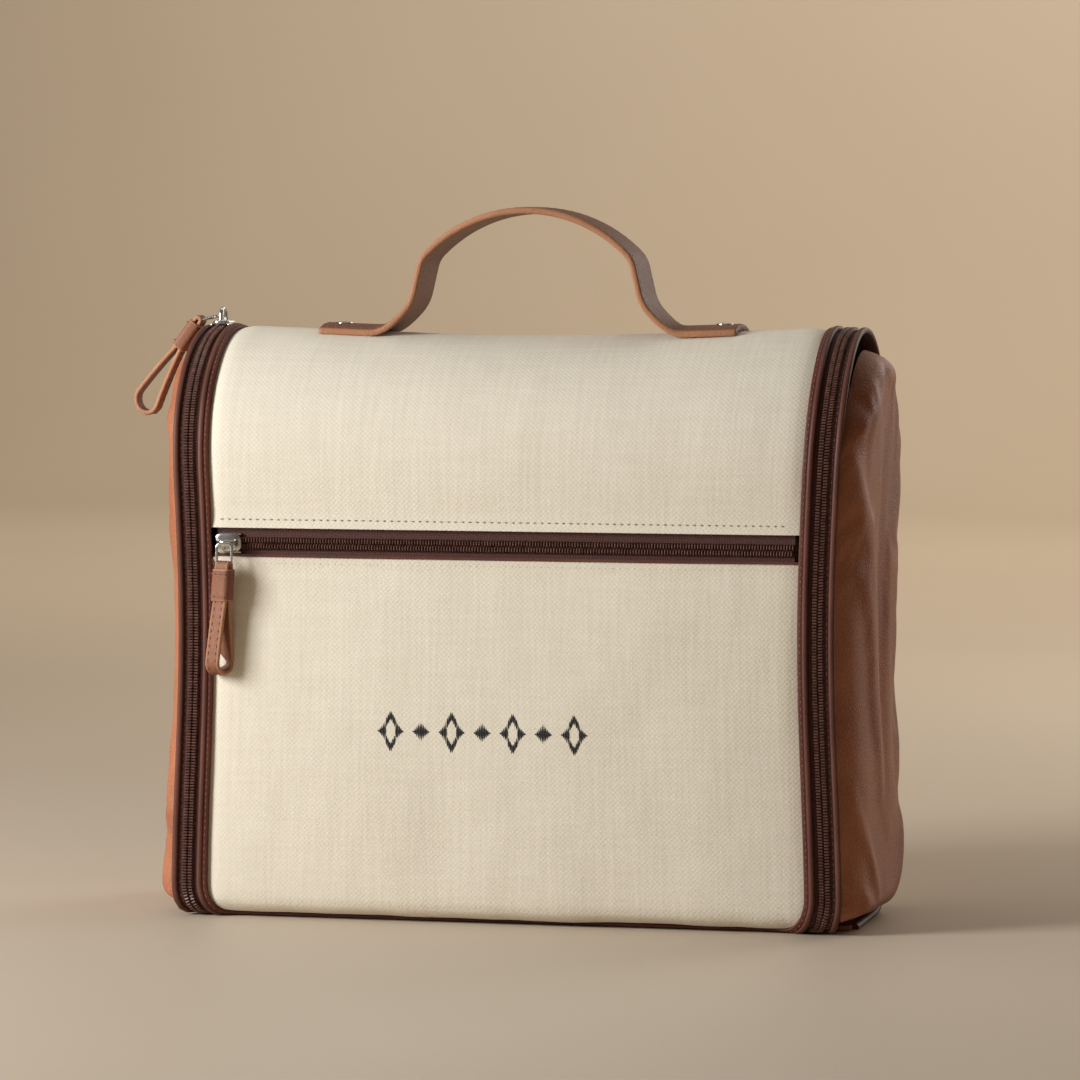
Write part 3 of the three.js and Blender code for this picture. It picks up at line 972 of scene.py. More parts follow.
@dataclass(frozen=True)
class Panel:
    """A flat pattern piece of cloth, leather or board."""

    name: str
    half_width: float
    runs: tuple[float, float]
    thickness: float
    lift: float = 0.0
    corner: float = 0.0
    pitch: float = 3.2 * MM
    soft: bool = True

    def cut(self, relief: Callable[[Array, Array], Array] | None = None) -> Piece:
        """Cuts the piece: a grid with rounded lower corners, raised by its relief and given its thickness.

        Args:
            relief: height to add at each x and run.

        Returns:
            The flat piece.
        """
        low, high = self.runs
        across, along = 2 * self.half_width, high - low
        Bench.clear()
        bpy.ops.mesh.primitive_grid_add(
            x_subdivisions=max(2, round(across / self.pitch)),
            y_subdivisions=max(2, round(along / self.pitch)), size=1.0, location=(0, 0, (low + high) / 2),
            rotation=(QUARTER, 0, 0),
        )
        obj = Bench.named(self.name, (across, along, 1))

        def shape(points: Array) -> Array:
            """Rounds the lower corners and adds the relief."""
            x, _, z = points.T
            if self.corner:
                side = np.sign(x)
                dx = np.maximum(np.abs(x) - (self.half_width - self.corner), 0)
                dz = np.maximum(low + self.corner - z, 0)
                reach = np.hypot(dx, dz)
                scale = np.where(reach > 0, np.maximum(dx, dz) / np.maximum(reach, 1e-9), 1)
                x = np.where((dx > 0) & (dz > 0), side * (self.half_width - self.corner + dx * scale), x)
                z = np.where((dx > 0) & (dz > 0), low + self.corner - dz * scale, z)
            height = self.lift + (relief(x, z) if relief else 0.0)
            return rows_of(x, np.zeros_like(x) - height, z)

        Bench.move(obj, shape)
        Bench.modifier(obj, "SOLIDIFY", thickness=self.thickness, offset=-1.0 if self.soft else 0.0)
        return Bench.smooth(obj)


def ripple(x: Array, z: Array, scale: float, seed: float) -> Array:
    """Gentle unevenness of cloth, about -1 to 1.

    Args:
        x: places across.
        z: places along.
        scale: waves per metre.
        seed: which part of the noise is used.

    Returns:
        The height at each place.
    """
    points = zip((x * scale).tolist(), (z * scale).tolist(), strict=True)
    return np.array([noise.noise(Vector((a, b, seed))) for a, b in points])


class Needle:
    """Sews runs of stitches, as flat pieces that are wrapped with the cloth."""

    @staticmethod
    def stitch(length: float, width: float) -> Piece:
        """One stitch: a small rounded thread along x that dips at both ends."""
        Bench.clear()
        bpy.ops.mesh.primitive_cylinder_add(
            vertices=6, radius=width / 2, depth=length, rotation=(0, QUARTER, 0)
        )
        obj = Bench.named("stitch")
        Bench.edit(obj, everything=False)
        bpy.ops.mesh.select_mode(type="VERT")
        Bench.cut((0, 0, 0), (1, 0, 0))
        Bench.done()

        def dip(points: Array) -> Array:
            """Sinks and narrows both ends."""
            x, y, z = points.T
            end = (np.abs(x) / (length / 2)) ** 2
            return rows_of(x, y * (1 - 0.45 * end) + 0.55 * width * end, z * (1 - 0.45 * end))

        return Bench.move(obj, dip)

    @staticmethod
    def row(
        name: str,
        stations: Iterable[tuple[float, float, float]],
        lift: Callable[[float, float], float],
        length: float = 2.5 * MM,
        width: float = 0.62 * MM,
    ) -> Piece:
        """A row of stitches, flat.

        Args:
            name: the row's name.
            stations: each stitch's x, run and heading.
            lift: the height of the surface at an x and run.
            length: one stitch's length.
            width: the thread's width.

        Returns:
            The flat piece.
        """
        frames = []
        for x, run, heading in stations:
            cosine, sine = math.cos(heading), math.sin(heading)
            axes = ((cosine, 0, sine), (0, 1, 0), (-sine, 0, cosine))
            frames.append(frame_matrix((x, -lift(x, run), run), *axes))
        return stamp(Needle.stitch(length, width), frames, name)

    @staticmethod
    def line(x_range: tuple[float, float], run: float, pitch: float) -> list[tuple[float, float, float]]:
        """Stations of a straight row across the bag."""
        count = int((x_range[1] - x_range[0]) / pitch)
        return [(x_range[0] + (i + 0.5) * pitch, run, 0.0) for i in range(count)]


# ---- the cover's canvas


@dataclass
class Cover:
    """The canvas of the front and crown, with its linings, board and embroidered motif."""

    form: Form
    studio: Studio
    half_width: float = 119.9 * MM
    canvas: float = 1.3 * MM
    pocket_top: float = 141.4 * MM
    upper_low: float = 153.1 * MM
    foot: float = -0.6 * MM
    corner: float = 14.5 * MM
    seam_above: float = 156.4 * MM
    seam_below: float = 139.4 * MM
    motif_at: tuple[float, float] = (-7.5 * MM, 75 * MM)

    def edge_dip(self, x: Array) -> Array:
        """How the canvas dips under the binding, from 0 inside to 1 at its edge."""
        return ease((np.abs(x) - (self.half_width - 5 * MM)) / (5 * MM))

    def pocket_relief(self, x: Array, z: Array) -> Array:
        """The pocket front: a soft belly, a folded top edge and a stitched seam below it."""
        u = x / self.half_width
        v = (z - self.foot) / (self.pocket_top - self.foot)
        belly = 2.1 * MM * (1 - u**4) * np.clip(4 * v * (1 - v), 0, 1) ** 0.6
        hem = 0.9 * MM * ease((z - (self.seam_below - 0.6 * MM)) / (1.4 * MM))
        groove = -0.55 * MM * np.exp(-(((z - self.seam_below) / (0.7 * MM)) ** 2))
        waves = 0.45 * MM * ripple(x, z, 26, 3.1) + 0.16 * MM * ripple(x, z, 95, 7.7)
        droop = 0.5 * MM * ripple(x, z * 0.25, 40, 1.3) * np.clip(1 - v, 0, 1)
        inside = 1 - self.edge_dip(x)
        return (belly + waves + droop) * inside + hem + groove - 0.9 * MM * (1 - inside)

    def crown_relief(self, x: Array, z: Array) -> Array:
        """The crown: a folded lower edge, a seam above it, and soft unevenness."""
        hem = 0.8 * MM * (1 - ease((z - (self.seam_above - 0.5 * MM)) / (1.6 * MM)))
        groove = -0.5 * MM * np.exp(-(((z - self.seam_above) / (0.7 * MM)) ** 2))
        waves = 0.4 * MM * ripple(x, z, 30, 9.4) + 0.14 * MM * ripple(x, z, 100, 5.5)
        inside = 1 - self.edge_dip(x)
        ends = ease((z - self.seam_above) / (14 * MM)) * ease((self.form.hinge_run - 4 * MM - z) / (16 * MM))
        return (0.7 * MM + waves) * ends * inside + hem + groove - 0.9 * MM * (1 - inside)

    def build(self) -> None:
        """Cuts, wraps and dresses every piece."""
        studio, form = self.studio, self.form
        pocket = Panel(
            "pocket_front", self.half_width, (self.foot, self.pocket_top), self.canvas, corner=self.corner
        ).cut(self.pocket_relief)
        studio.sew(pocket, Finish.CANVAS, "front_flap", ["front_pocket_panel"])
        edge = self.pocket_top
        welt = Panel(
            "pocket_welt", self.half_width - 1 * MM, (edge - 0.4 * MM, edge + 1.3 * MM), 1.4 * MM,
            lift=-0.35 * MM, pitch=1.2 * MM,
        )
        studio.sew(welt.cut(), Finish.LIP, "front_flap")
        top = form.hinge_run - 0.2 * MM
        crown = Panel("crown_canvas", self.half_width, (self.upper_low, top), self.canvas).cut(
            self.crown_relief
        )
        studio.sew(crown, Finish.CANVAS, Joints.FOLD, ["top_canvas", "front_upper_strip"])
        self.seams()
        self.linings()
        self.motif()

    def seams(self) -> None:
        """Sews the two rows beside the pocket's zip."""
        span = (-self.half_width + 4 * MM, self.half_width - 4 * MM)
        rows = (
            ("pocket_edge_stitches", self.seam_below, self.pocket_relief, "front_flap"),
            ("crown_edge_stitches", self.seam_above, self.crown_relief, Joints.FOLD),
        )
        for name, run, relief, body in rows:

            def lift(x: float, z: float, relief: Callable = relief) -> float:
                """The cloth's height under a stitch."""
                return float(relief(np.array([x]), np.array([z]))[0]) + 0.3 * MM

            row = Needle.row(name, Needle.line(span, run, 2.9 * MM), lift, 1.9 * MM, 0.6 * MM)
            self.studio.sew(row, Finish.SEAM, body)

    def linings(self) -> None:
        """Makes the linings of the crown and front, and the board between the front's lining and pocket."""
        form, studio = self.form, self.studio
        low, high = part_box("top_lining")
        inset = form.height - high.z
        lining = Panel(
            "crown_lining", high.x - 1 * MM, (form.shoulder_run - 12 * MM, form.hinge_run), 0.9 * MM
        )
        crown = lining.cut(lambda x, z: -inset - 0.3 * MM + 0.35 * MM * ripple(x, z, 60, 2.2))
        studio.sew(crown, Finish.LINING, "top_flap", ["top_lining"])
        low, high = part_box("front_lining")
        depth = low.y - form.front

        def tray(x: Array, z: Array) -> Array:
            """The lining lies on the board, and comes forward to meet the binding at its rim."""
            side = ease((np.abs(x) - (high.x - 7 * MM)) / (7 * MM))
            ends = ease((low.z + 6 * MM - z) / (6 * MM)) + ease((z - (high.z - 6 * MM)) / (6 * MM))
            rim = np.clip(side + ends, 0, 1)
            return -depth * (1 - rim) - 3.2 * MM * rim + 0.3 * MM * ripple(x, z, 55, 8.8) * (1 - rim)

        front = Panel("front_lining_cloth", high.x, (low.z, high.z), 0.9 * MM).cut(tray)
        studio.sew(front, Finish.LINING, "front_flap", ["front_lining"])
        low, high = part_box("front_board")
        middle = form.front - (low.y + high.y) / 2
        stiff = Panel(
            "front_stiffener", high.x - 8 * MM, (
                low.z + 7 * MM, high.z - 7 * MM
            ), high.y - low.y, lift=middle, soft=False
        ).cut()
        studio.sew(stiff, Finish.BOARD, "front_flap", ["front_board"])

    def motif(self) -> None:
        """Embroiders a plain row of diamonds, each a fan of satin stitches."""
        middle_x, middle_z = self.motif_at
        count, step = 7, 12.4 * MM
        frames = []
        for i in range(count):
            centre_x = middle_x + (i - (count - 1) / 2) * step
            tall = 9.2 * MM if i % 2 == 0 else 5.6 * MM
            half = 5.2 * MM if i % 2 == 0 else 3.4 * MM
            rows = int(2 * half / (0.62 * MM))
            for j in range(rows):
                across = -half + (j + 0.5) * 2 * half / rows
                length = 2 * tall * (1 - abs(across) / half)
                hollow = tall * 0.4 * (1 - abs(across) / (half * 0.4)) if i % 2 == 0 else 0.0
                parts = [(0.0, length)]
                if hollow > 0:
                    bar = length / 2 - hollow
                    parts = [(hollow + bar / 2, bar), (-hollow - bar / 2, bar)]
                for shift, size in parts:
                    x, z = centre_x + across, middle_z + shift
                    lift = float(self.pocket_relief(np.array([x]), np.array([z]))[0])
                    axes = ((0, 0, size), (0, 1, 0), (-1, 0, 0))
                    frames.append(frame_matrix((x, -lift - 0.05 * MM, z), *axes))
        thread = Needle.stitch(1.0, 0.72 * MM)
        motif = stamp(thread, frames, "diamond_motif")
        self.studio.sew(motif, Finish.MOTIF, "front_flap")


# ---- the edge: bindings and the main zip


@dataclass
class MainZip:
    """The binding of the cover, the two halves of the main zip, and the leather edging outside it."""

    form: Form
    studio: Studio
    edge: Edge = field(default_factory=Edge)
    tooth_pitch: float = 1.14 * MM
    tooth_length: float = 2.5 * MM
    middle: float = 10 * MM

    def loop(self) -> Piece:
        """One loop of the coil: a low nylon arch across the tape, y its length and z off the tape."""
        Bench.clear()
        bpy.ops.mesh.primitive_cylinder_add(
            vertices=8, radius=0.5, depth=self.tooth_length, rotation=(QUARTER, 0, 0), end_fill_type="NGON"
        )
        loop = Bench.named("coil_loop")
        Bench.edit(loop)
        for place in (0.27 * self.tooth_length, -0.27 * self.tooth_length):
            Bench.cut((0, place, 0), (0, 1, 0))
        Bench.done()

        def arch(points: Array) -> Array:
            """Turns the rod into a low arch whose ends sink into the tape."""
            x, y, z = points.T
            end = np.clip(np.abs(y) / (0.5 * self.tooth_length), 0, 1) ** 3
            return rows_of(x * 0.9 * MM, y, z * 1.7 * MM * (1 - 0.4 * end) - 0.75 * MM * end)

        return Bench.move(loop, arch)

    def teeth(self, name: str, out: float, lean: float, top: float) -> Piece:
        """One half of the coil: small nylon loops side by side along the zip's route.

        Args:
            name: the piece's name.
            out: how far outside the canvas's edge its middle runs.
            lean: the angle that each loop leans by.
            top: the run at which it ends on both sides.

        Returns:
            The flat piece.
        """
        frames = []
        for x, run, heading in self.edge.stations(out, top, self.tooth_pitch):
            turn = heading + lean
            along = (math.cos(turn), 0.0, math.sin(turn))
            across = (-math.sin(heading), 0.0, math.cos(heading))
            frames.append(frame_matrix((x, -0.55 * MM, run), along, across, (0, -1, 0)))
        return stamp(self.loop(), frames, name)

    def build(self) -> None:
        """Makes and dresses every strip."""
        form, studio, edge = self.form, self.studio, self.edge
        top = form.hinge_run
        cover = ["left", "right"]
        flat = edge.strip("cover_binding", 3.3 * MM, (3.0 * MM, 1.7 * MM), 0.35 * MM, top)
        nodes = [f"{part}_{side}_binding" for part in ("top", "front") for side in cover]
        studio.sew(Bench.smooth(flat), Finish.BINDING, Joints.FOLD, [*nodes, "front_bottom_binding"])
        lip = edge.strip("cover_binding_lip", 4.9 * MM, (2.3 * MM, 2.5 * MM), 0.55 * MM, top)
        studio.sew(Bench.smooth(lip), Finish.LIP, Joints.FOLD)
        tape = edge.strip("cover_zip_tape", 7.2 * MM, (4.8 * MM, 1.0 * MM), -0.7 * MM, top)
        nodes = [f"{part}_{side}_zip_tape" for part in ("top", "front") for side in cover]
        studio.sew(Bench.smooth(tape), Finish.TAPE, Joints.FOLD, nodes)
        coil = self.teeth("cover_zip_coil", self.middle - 1.16 * MM, math.radians(12), top)
        nodes = [f"{part}_{side}_zip_coil" for part in ("top", "front") for side in cover]
        studio.sew(Bench.smooth(coil), Finish.COIL, Joints.FOLD, [*nodes, "front_bottom_zip_coil"])
        coil = self.teeth("tub_zip_coil", self.middle + 1.16 * MM, math.radians(-12), top)
        nodes = [f"{side}_side_zip_coil" for side in cover]
        studio.sew(Bench.smooth(coil), Finish.COIL, "tub", [*nodes, "base_zip_coil"])
        tape = edge.strip("tub_zip_tape", 12.8 * MM, (4.8 * MM, 1.0 * MM), -0.7 * MM, top)
        nodes = [f"{side}_side_zip_tape" for side in cover]
        studio.sew(Bench.smooth(tape), Finish.TAPE, "tub", [*nodes, "base_zip_tape"])
        edging = edge.strip("tub_edging", 15.3 * MM, (2.4 * MM, 2.2 * MM), 0.1 * MM, top)
        studio.sew(Bench.smooth(edging), Finish.LIP, "tub")
        self.stitches(top)

    def stitches(self, top: float) -> None:
        """Sews the binding down on the cover, and the tape to the tub."""
        rows = (
            ("binding_stitches", 3.1 * MM, 1.26 * MM, Joints.FOLD, Finish.LEATHER_SEAM),
            ("tape_stitches", 13.4 * MM, -0.1 * MM, "tub", Finish.LEATHER_SEAM),
        )
        for name, out, height, body, finish in rows:
            stations = self.edge.stations(out, top - 2 * MM, 2.7 * MM)
            row = Needle.row(
                name, stations, lambda x, z, height=height: height - 0.1 * MM, 2.0 * MM, 0.42 * MM
            )
            self.studio.sew(row, finish, body)


# ---- the tub


@dataclass
class Tub:
    """The back, the base, their boards and lining, and the net pocket inside the back."""

    form: Form
    studio: Studio
    half_width: float = 133.6 * MM
    heel_share: float = 0.5

    @property
    def seam_run(self) -> float:
        """Run of the seam between the back's canvas and the base's leather."""
        return self.form.heel_run + self.heel_share * (self.form.base_run - self.form.heel_run)

    @property
    def end_run(self) -> float:
        """Run at which the base ends, behind the zip's lower leg."""
        low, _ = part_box("base_panel")
        return self.form.base_run + (self.form.back - self.form.heel_radius - low.y) - 4 * MM

    def build(self) -> None:
        """Cuts, wraps and dresses every piece."""
        form, studio = self.form, self.studio
        start = form.hinge_run + 1.2 * MM

        def back_relief(x: Array, z: Array) -> Array:
            """The back: nearly flat over its board, with a slight belly."""
            inside = (1 - ease((np.abs(x) - (self.half_width - 5 * MM)) / (5 * MM))) * ease(
                (z - start - 5 * MM) / (12 * MM)
            )
            return (0.6 * MM + 0.4 * MM * ripple(x, z, 28, 4.6) + 0.12 * MM * ripple(x, z, 95, 1.9)) * inside

        back = Panel("back_canvas", self.half_width, (start, self.seam_run), 1.3 * MM, pitch=3.6 * MM)
        studio.sew(back.cut(back_relief), Finish.CANVAS, "tub", ["back_panel"])
        base = Panel(
            "base_leather", self.half_width, (self.seam_run - 3 * MM, self.end_run), 1.6 * MM, pitch=4 * MM
        )

        def base_relief(x: Array, z: Array) -> Array:
            """The base: its edge is turned in over the back's canvas, and it is flat where it stands."""
            turned = 0.9 * MM * (1 - ease((z - self.seam_run) / (4 * MM)))
            return turned - 0.25 * MM + 0.12 * MM * ripple(x, z, 70, 6.1)

        studio.sew(base.cut(base_relief), Finish.TAN, "tub", ["base_panel"])
        seam = Needle.row(
            "heel_stitches",
            Needle.line(
                (-self.half_width + 4 * MM, self.half_width - 4 * MM), self.seam_run - 0.6 * MM, 3.1 * MM
            ),
            lambda x, z: 0.78 * MM,
        )
        studio.sew(seam, Finish.LEATHER_SEAM, "tub")
        self.hinge(start)
        self.inside(start)

    def hinge(self, start: float) -> None:
        """The cloth strip across the back that hinges the cover, a leather tab at each end, and its row of
        stitches.
        """
        strip = Panel(
            "hinge_tape", 118 * MM, (start - 4.2 * MM, start + 5 * MM), 0.7 * MM, lift=0.95 * MM, pitch=2 * MM
        )
        self.studio.sew(strip.cut(), Finish.TAPE, "tub")
        for side, sign in (("left", -1), ("right", 1)):
            tab = Panel(
                f"{side}_end_tab", 6.6 * MM, (start - 1.2 * MM, start + 8 * MM), 1.4 * MM, lift=1.9 * MM,
                pitch=1.5 * MM,
            )
            piece = Bench.move(
                tab.cut(), lambda points, sign=sign: points + np.array([sign * 131.4 * MM, 0, 0])
            )
            self.studio.sew(piece, Finish.BINDING, "tub")
        span = (-112 * MM, 112 * MM)
        row = Needle.row(
            "hinge_stitches", Needle.line(span, start + 3.4 * MM, 3.1 * MM), lambda x, z: 1.05 * MM
        )
        self.studio.sew(row, Finish.LEATHER_SEAM, "tub")

    def inside(self, start: float) -> None:
        """The lining, the stiffening boards and the net pocket."""
        form, studio = self.form, self.studio
        low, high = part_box("tub_lining")
        depth = form.back - high.y
        lining = Panel("tub_lining_cloth", high.x, (start, self.end_run - 4 * MM), 0.9 * MM, pitch=4 * MM)
        cloth = lining.cut(lambda x, z: -depth - 0.1 * MM + 0.3 * MM * ripple(x, z, 50, 3.3))
        studio.sew(cloth, Finish.LINING, "tub", ["tub_lining"])
        low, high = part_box("back_board")
        runs = (form.hinge_run + form.crown[1] - high.z, form.heel_run - 2 * MM)
        lift = (low.y + high.y) / 2 - form.back
        board = Panel("back_stiffener", high.x, runs, high.y - low.y, lift=lift, soft=False).cut()
        studio.sew(board, Finish.BOARD, "tub", ["back_board"])
        low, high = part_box("base_board")
        heel_y = form.back - form.heel_radius
        runs = (form.base_run + heel_y - high.y, form.base_run + heel_y - low.y)
        lift = -(low.z + high.z) / 2
        board = Panel("base_stiffener", high.x, runs, high.z - low.z, lift=lift, soft=False).cut()
        studio.sew(board, Finish.BOARD, "tub", ["base_board"])
        self.net_pocket()

    def net_pocket(self) -> None:
        """The net pocket sewn to the back's lining, its elastic top and its bound edges."""
        form, studio = self.form, self.studio

        def run_of(z: float) -> float:
            """The run of a height on the back."""
            return form.hinge_run + form.crown[1] - z

        low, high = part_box("inner_mesh_pocket")
        depth = form.back - low.y

        def slack(x: Array, z: Array) -> Array:
            """The net bags inwards and gathers under its elastic."""
            gather = 0.5 * MM * np.sin(x * TURN / (7.5 * MM)) * ease(
                (run_of(high.z) + 20 * MM - z) / (20 * MM)
            )
            u = x / high.x
            side = ease((np.abs(u) - 0.94) / 0.06)
            return -depth + 0.5 * MM + gather * (1 - side)

        net = Panel(
            "net_pocket", high.x, (run_of(high.z), run_of(low.z)), 0.35 * MM, pitch=1.9 * MM
        ).cut(slack)
        studio.sew(net, Finish.NET, "tub", ["inner_mesh_pocket"])
        low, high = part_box("inner_pocket_elastic")

        def ribs(x: Array, z: Array) -> Array:
            """The elastic's gathers."""
            return -(form.back - low.y) + 0.35 * MM * np.sin(x * TURN / (3.1 * MM))

        elastic = Panel(
            "pocket_elastic", high.x, (run_of(high.z), run_of(low.z)), 1.5 * MM, pitch=1.0 * MM
        ).cut(ribs)
        studio.sew(elastic, Finish.ELASTIC, "tub", ["inner_pocket_elastic"])
        for side in ("left", "right"):
            low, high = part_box(f"inner_pocket_{side}_edge")
            Bench.clear()
            middle = (low + high) / 2
            size = high - low
            bpy.ops.mesh.primitive_cube_add(size=1, location=middle)
            edge = Bench.named(f"pocket_{side}_edge_tape", size)
            Bench.modifier(edge, "BEVEL", width=0.8 * MM, segments=3)
            Bench.smooth(edge)
            studio.dress(edge, Finish.TAPE, "tub", [f"inner_pocket_{side}_edge"])


# ---- the bulging leather ends


@dataclass
class Ends:
    """The two leather ends, which bulge out past their seams and gather where the leather is eased in."""

    form: Form
    studio: Studio
    columns: int = 30
    rows: int = 56
    seam_x: float = 132.4 * MM
    inset: float = 1.6 * MM
    recess: float = 6.0 * MM
    bulge: float = 10.6 * MM
    front_rise: float = 7.0 * MM
    back_rise: float = 2.6 * MM
    travel: float = 1.4 * MM
    spare: float = 0.05

    def rim(self, start: float, stop: float, count: int) -> Array:
        """Points of the end's rim between two runs, as rows of y and z."""
        form = self.form
        runs = np.linspace(start, stop, count)
        rise = ease((runs - form.shoulder_run) / (45 * MM)) * ease((form.hinge_run - runs) / (45 * MM))
        y, z = form.outline(runs, -self.inset - self.recess * rise)
        return rows_of(y, np.maximum(z, 1.2 * MM))

    def borders(self) -> tuple[Array, Array, Array, Array]:
        """The end's four borders: front, back, foot and top, each as rows of y and z."""
        form = self.form
        last = form.base_run + (form.back - form.heel_radius) - (form.front + form.toe_radius)
        heel = (form.heel_run + form.base_run) / 2
        front = self.rim(0.5 * form.toe_radius, form.shoulder_run + 12 * MM, self.rows)
        top = self.rim(form.shoulder_run + 12 * MM, form.hinge_run - 14 * MM, self.columns)
        back = self.rim(form.hinge_run - 14 * MM, heel, self.rows)[::-1]
        foot = self.rim(heel, last + 2 * MM, self.columns)[::-1]
        foot = foot + np.linspace(1, 0, self.columns)[:, None] * (front[0] - foot[0])
        return front, back, foot, top

    def patch(self) -> tuple[Array, Array]:
        """A grid of points over the whole end, spread between its borders, and how far each bulges out."""
        front, back, foot, top = self.borders()
        u = np.linspace(0, 1, self.columns)[:, None, None]
        v = np.linspace(0, 1, self.rows)[None, :, None]
        grid = (1 - u) * front[None] + u * back[None] + (1 - v) * foot[:, None] + v * top[:, None]
        corners = (1 - u) * (1 - v) * front[0] + u * (1 - v) * back[0]
        corners = corners + (1 - u) * v * front[-1] + u * v * back[-1]
        grid = grid - corners
        out = np.ones(grid.shape[:2])
        for border, rise in (
            (front, self.front_rise), (top, self.back_rise), (back, self.back_rise), (foot, self.back_rise)
        ):
            reach = np.linalg.norm(grid[:, :, None] - border[None, None], axis=3).min(axis=2)
            out = np.minimum(out, 1 - np.exp(-reach / rise))
        return grid, self.bulge * out

    def folds(self, u: Array, v: Array, sign: int) -> Array:
        """Soft standing folds in the back half, and gathers under the crown."""
        height = np.zeros_like(u)
        for place, lean, width, depth in ((0.52, 0.12, 0.05, 1.0), (0.72, 0.07, 0.045, 1.2)):
            centre = place + lean * (v - 0.5) + 0.015 * np.sin(5 * v + 9 * place + sign)
            strength = ease((v - 0.08) / 0.3) * (0.55 + 0.45 * np.sin(3 * v + 12 * place))
            height -= depth * MM * strength * np.exp(-(((u - centre) / width) ** 2))
        gathers = 0.55 * MM * np.sin(u * TURN * 7.5 + sign) * ease((v - 0.8) / 0.17)
        return height + gathers

    def build(self) -> None:
        """Makes and dresses both ends and the seams round them."""
        for side, sign in (("left", -1), ("right", 1)):
            end = self.drape(self.sheet(f"{side}_end", sign))
            Bench.modifier(end, "SUBSURF", levels=2, render_levels=2)
            Bench.modifier(end, "SOLIDIFY", thickness=1.5 * MM, offset=-1.0)
            self.studio.dress(Bench.smooth(end), Finish.TAN, "tub", [f"{side}_gusset"])
            self.piping(side, sign)

    def sheet(self, name: str, sign: int) -> Piece:
        """The end before it is draped: its full shape, pinned at its rim.

        Args:
            name: the piece's name.
            sign: -1 at the left, 1 at the right.

        Returns:
            The sheet, with a vertex group for its pinned rim.
        """
        grid, bulge = self.patch()
        Bench.clear()
        bpy.ops.mesh.primitive_grid_add(
            x_subdivisions=self.columns - 1, y_subdivisions=self.rows - 1, size=2.0
        )
        obj = Bench.named(name)

        def place(points: Array) -> Array:
            """Puts the flat grid's vertices on the end."""
            i = np.rint((points[:, 0] + 1) / 2 * (self.columns - 1)).astype(int)
            j = np.rint((points[:, 1] + 1) / 2 * (self.rows - 1)).astype(int)
            out = bulge[i, j]
            full = out / self.bulge
            out = out + self.folds(i / (self.columns - 1), j / (self.rows - 1), sign) * full
            return rows_of(sign * (self.seam_x + out), grid[i, j, 0], grid[i, j, 1])

        Bench.move(obj, place)
        if obj.data.polygons[len(obj.data.polygons) // 2].normal.x * sign < 0:
            Bench.edit(obj)
            bpy.ops.mesh.flip_normals()
            Bench.done()
        rim = obj.vertex_groups.new(name="rim")
        edges = [v.index for v in obj.data.vertices if abs(abs(v.co.x) - self.seam_x) < 0.05 * MM]
        rim.add(edges, 1.0, "REPLACE")
        return obj

    def drape(self, obj: Piece) -> Piece:
        """Lets the leather, cut a little too large for its rim, buckle and hang.

        Args:
            obj: the pinned sheet.

        Returns:
            The draped sheet, none of which moved further than the leather's travel.
        """
        start = np.array([v.co for v in obj.data.vertices])
        Bench.take(obj)
        cloth = obj.modifiers.new("cloth", "CLOTH")
        settings = cloth.settings
        settings.quality = 8
        settings.mass = 0.3
        settings.tension_stiffness = 40
        settings.compression_stiffness = 40
        settings.shear_stiffness = 20
        settings.bending_stiffness = 6
        settings.shrink_min = -self.spare
        settings.shrink_max = -self.spare
        settings.vertex_group_mass = "rim"
        settings.use_pressure = True
        settings.uniform_pressure_force = 0.3
        settings.effector_weights.gravity = 0.35
        scene = bpy.context.scene
        for frame in range(1, 26):
            scene.frame_set(frame)
        bpy.ops.object.modifier_apply(modifier=cloth.name)
        scene.frame_set(1)

        def keep(points: Array) -> Array:
            """Caps how far each point moved, softly."""
            moved = points - start
            reach = np.linalg.norm(moved, axis=1, keepdims=True)
            share = self.travel * np.tanh(reach / self.travel) / np.maximum(reach, 1e-9)
            points = start + moved * np.where(reach > 1e-9, share, 1)
            points[:, 2] = np.maximum(points[:, 2], 1.0 * MM)
            return points

        Bench.move(obj, keep)
        return Bench.move(obj, self.form.settle)

    def piping(self, side: str, sign: int) -> None:
        """The rolled leather edge over the end's seam: down the back, round the heel, along the base."""
        form = self.form
        last = form.base_run + (form.back - form.heel_radius) - form.front - 22 * MM
        start = form.hinge_run - 1 * MM
        Bench.clear()
        bpy.ops.mesh.primitive_circle_add(
            vertices=12, radius=2.0 * MM, fill_type="NGON", location=(sign * 134.2 * MM, -0.1 * MM, start)
        )
        pipe = Bench.named(f"{side}_piping")
        Bench.edit(pipe)
        steps = int((last - start) / (3 * MM))
        bpy.ops.mesh.extrude_repeat(steps=steps, offset=(0, 0, (last - start) / steps))
        Bench.done()
        Bench.smooth(Bench.tidy(pipe))

        def lift(points: Array) -> Array:
            """Flattens the roll, and keeps it off the ground."""
            x, y, z = points.T
            return rows_of(x, y * 0.8 + 0.9 * MM * ease((z - form.heel_run) / (form.heel_radius * 1.5)), z)

        Bench.move(pipe, lift)
        self.studio.sew(pipe, Finish.BINDING, "tub", [f"{side}_gusset_piping"])


# ---- straps bent along a path


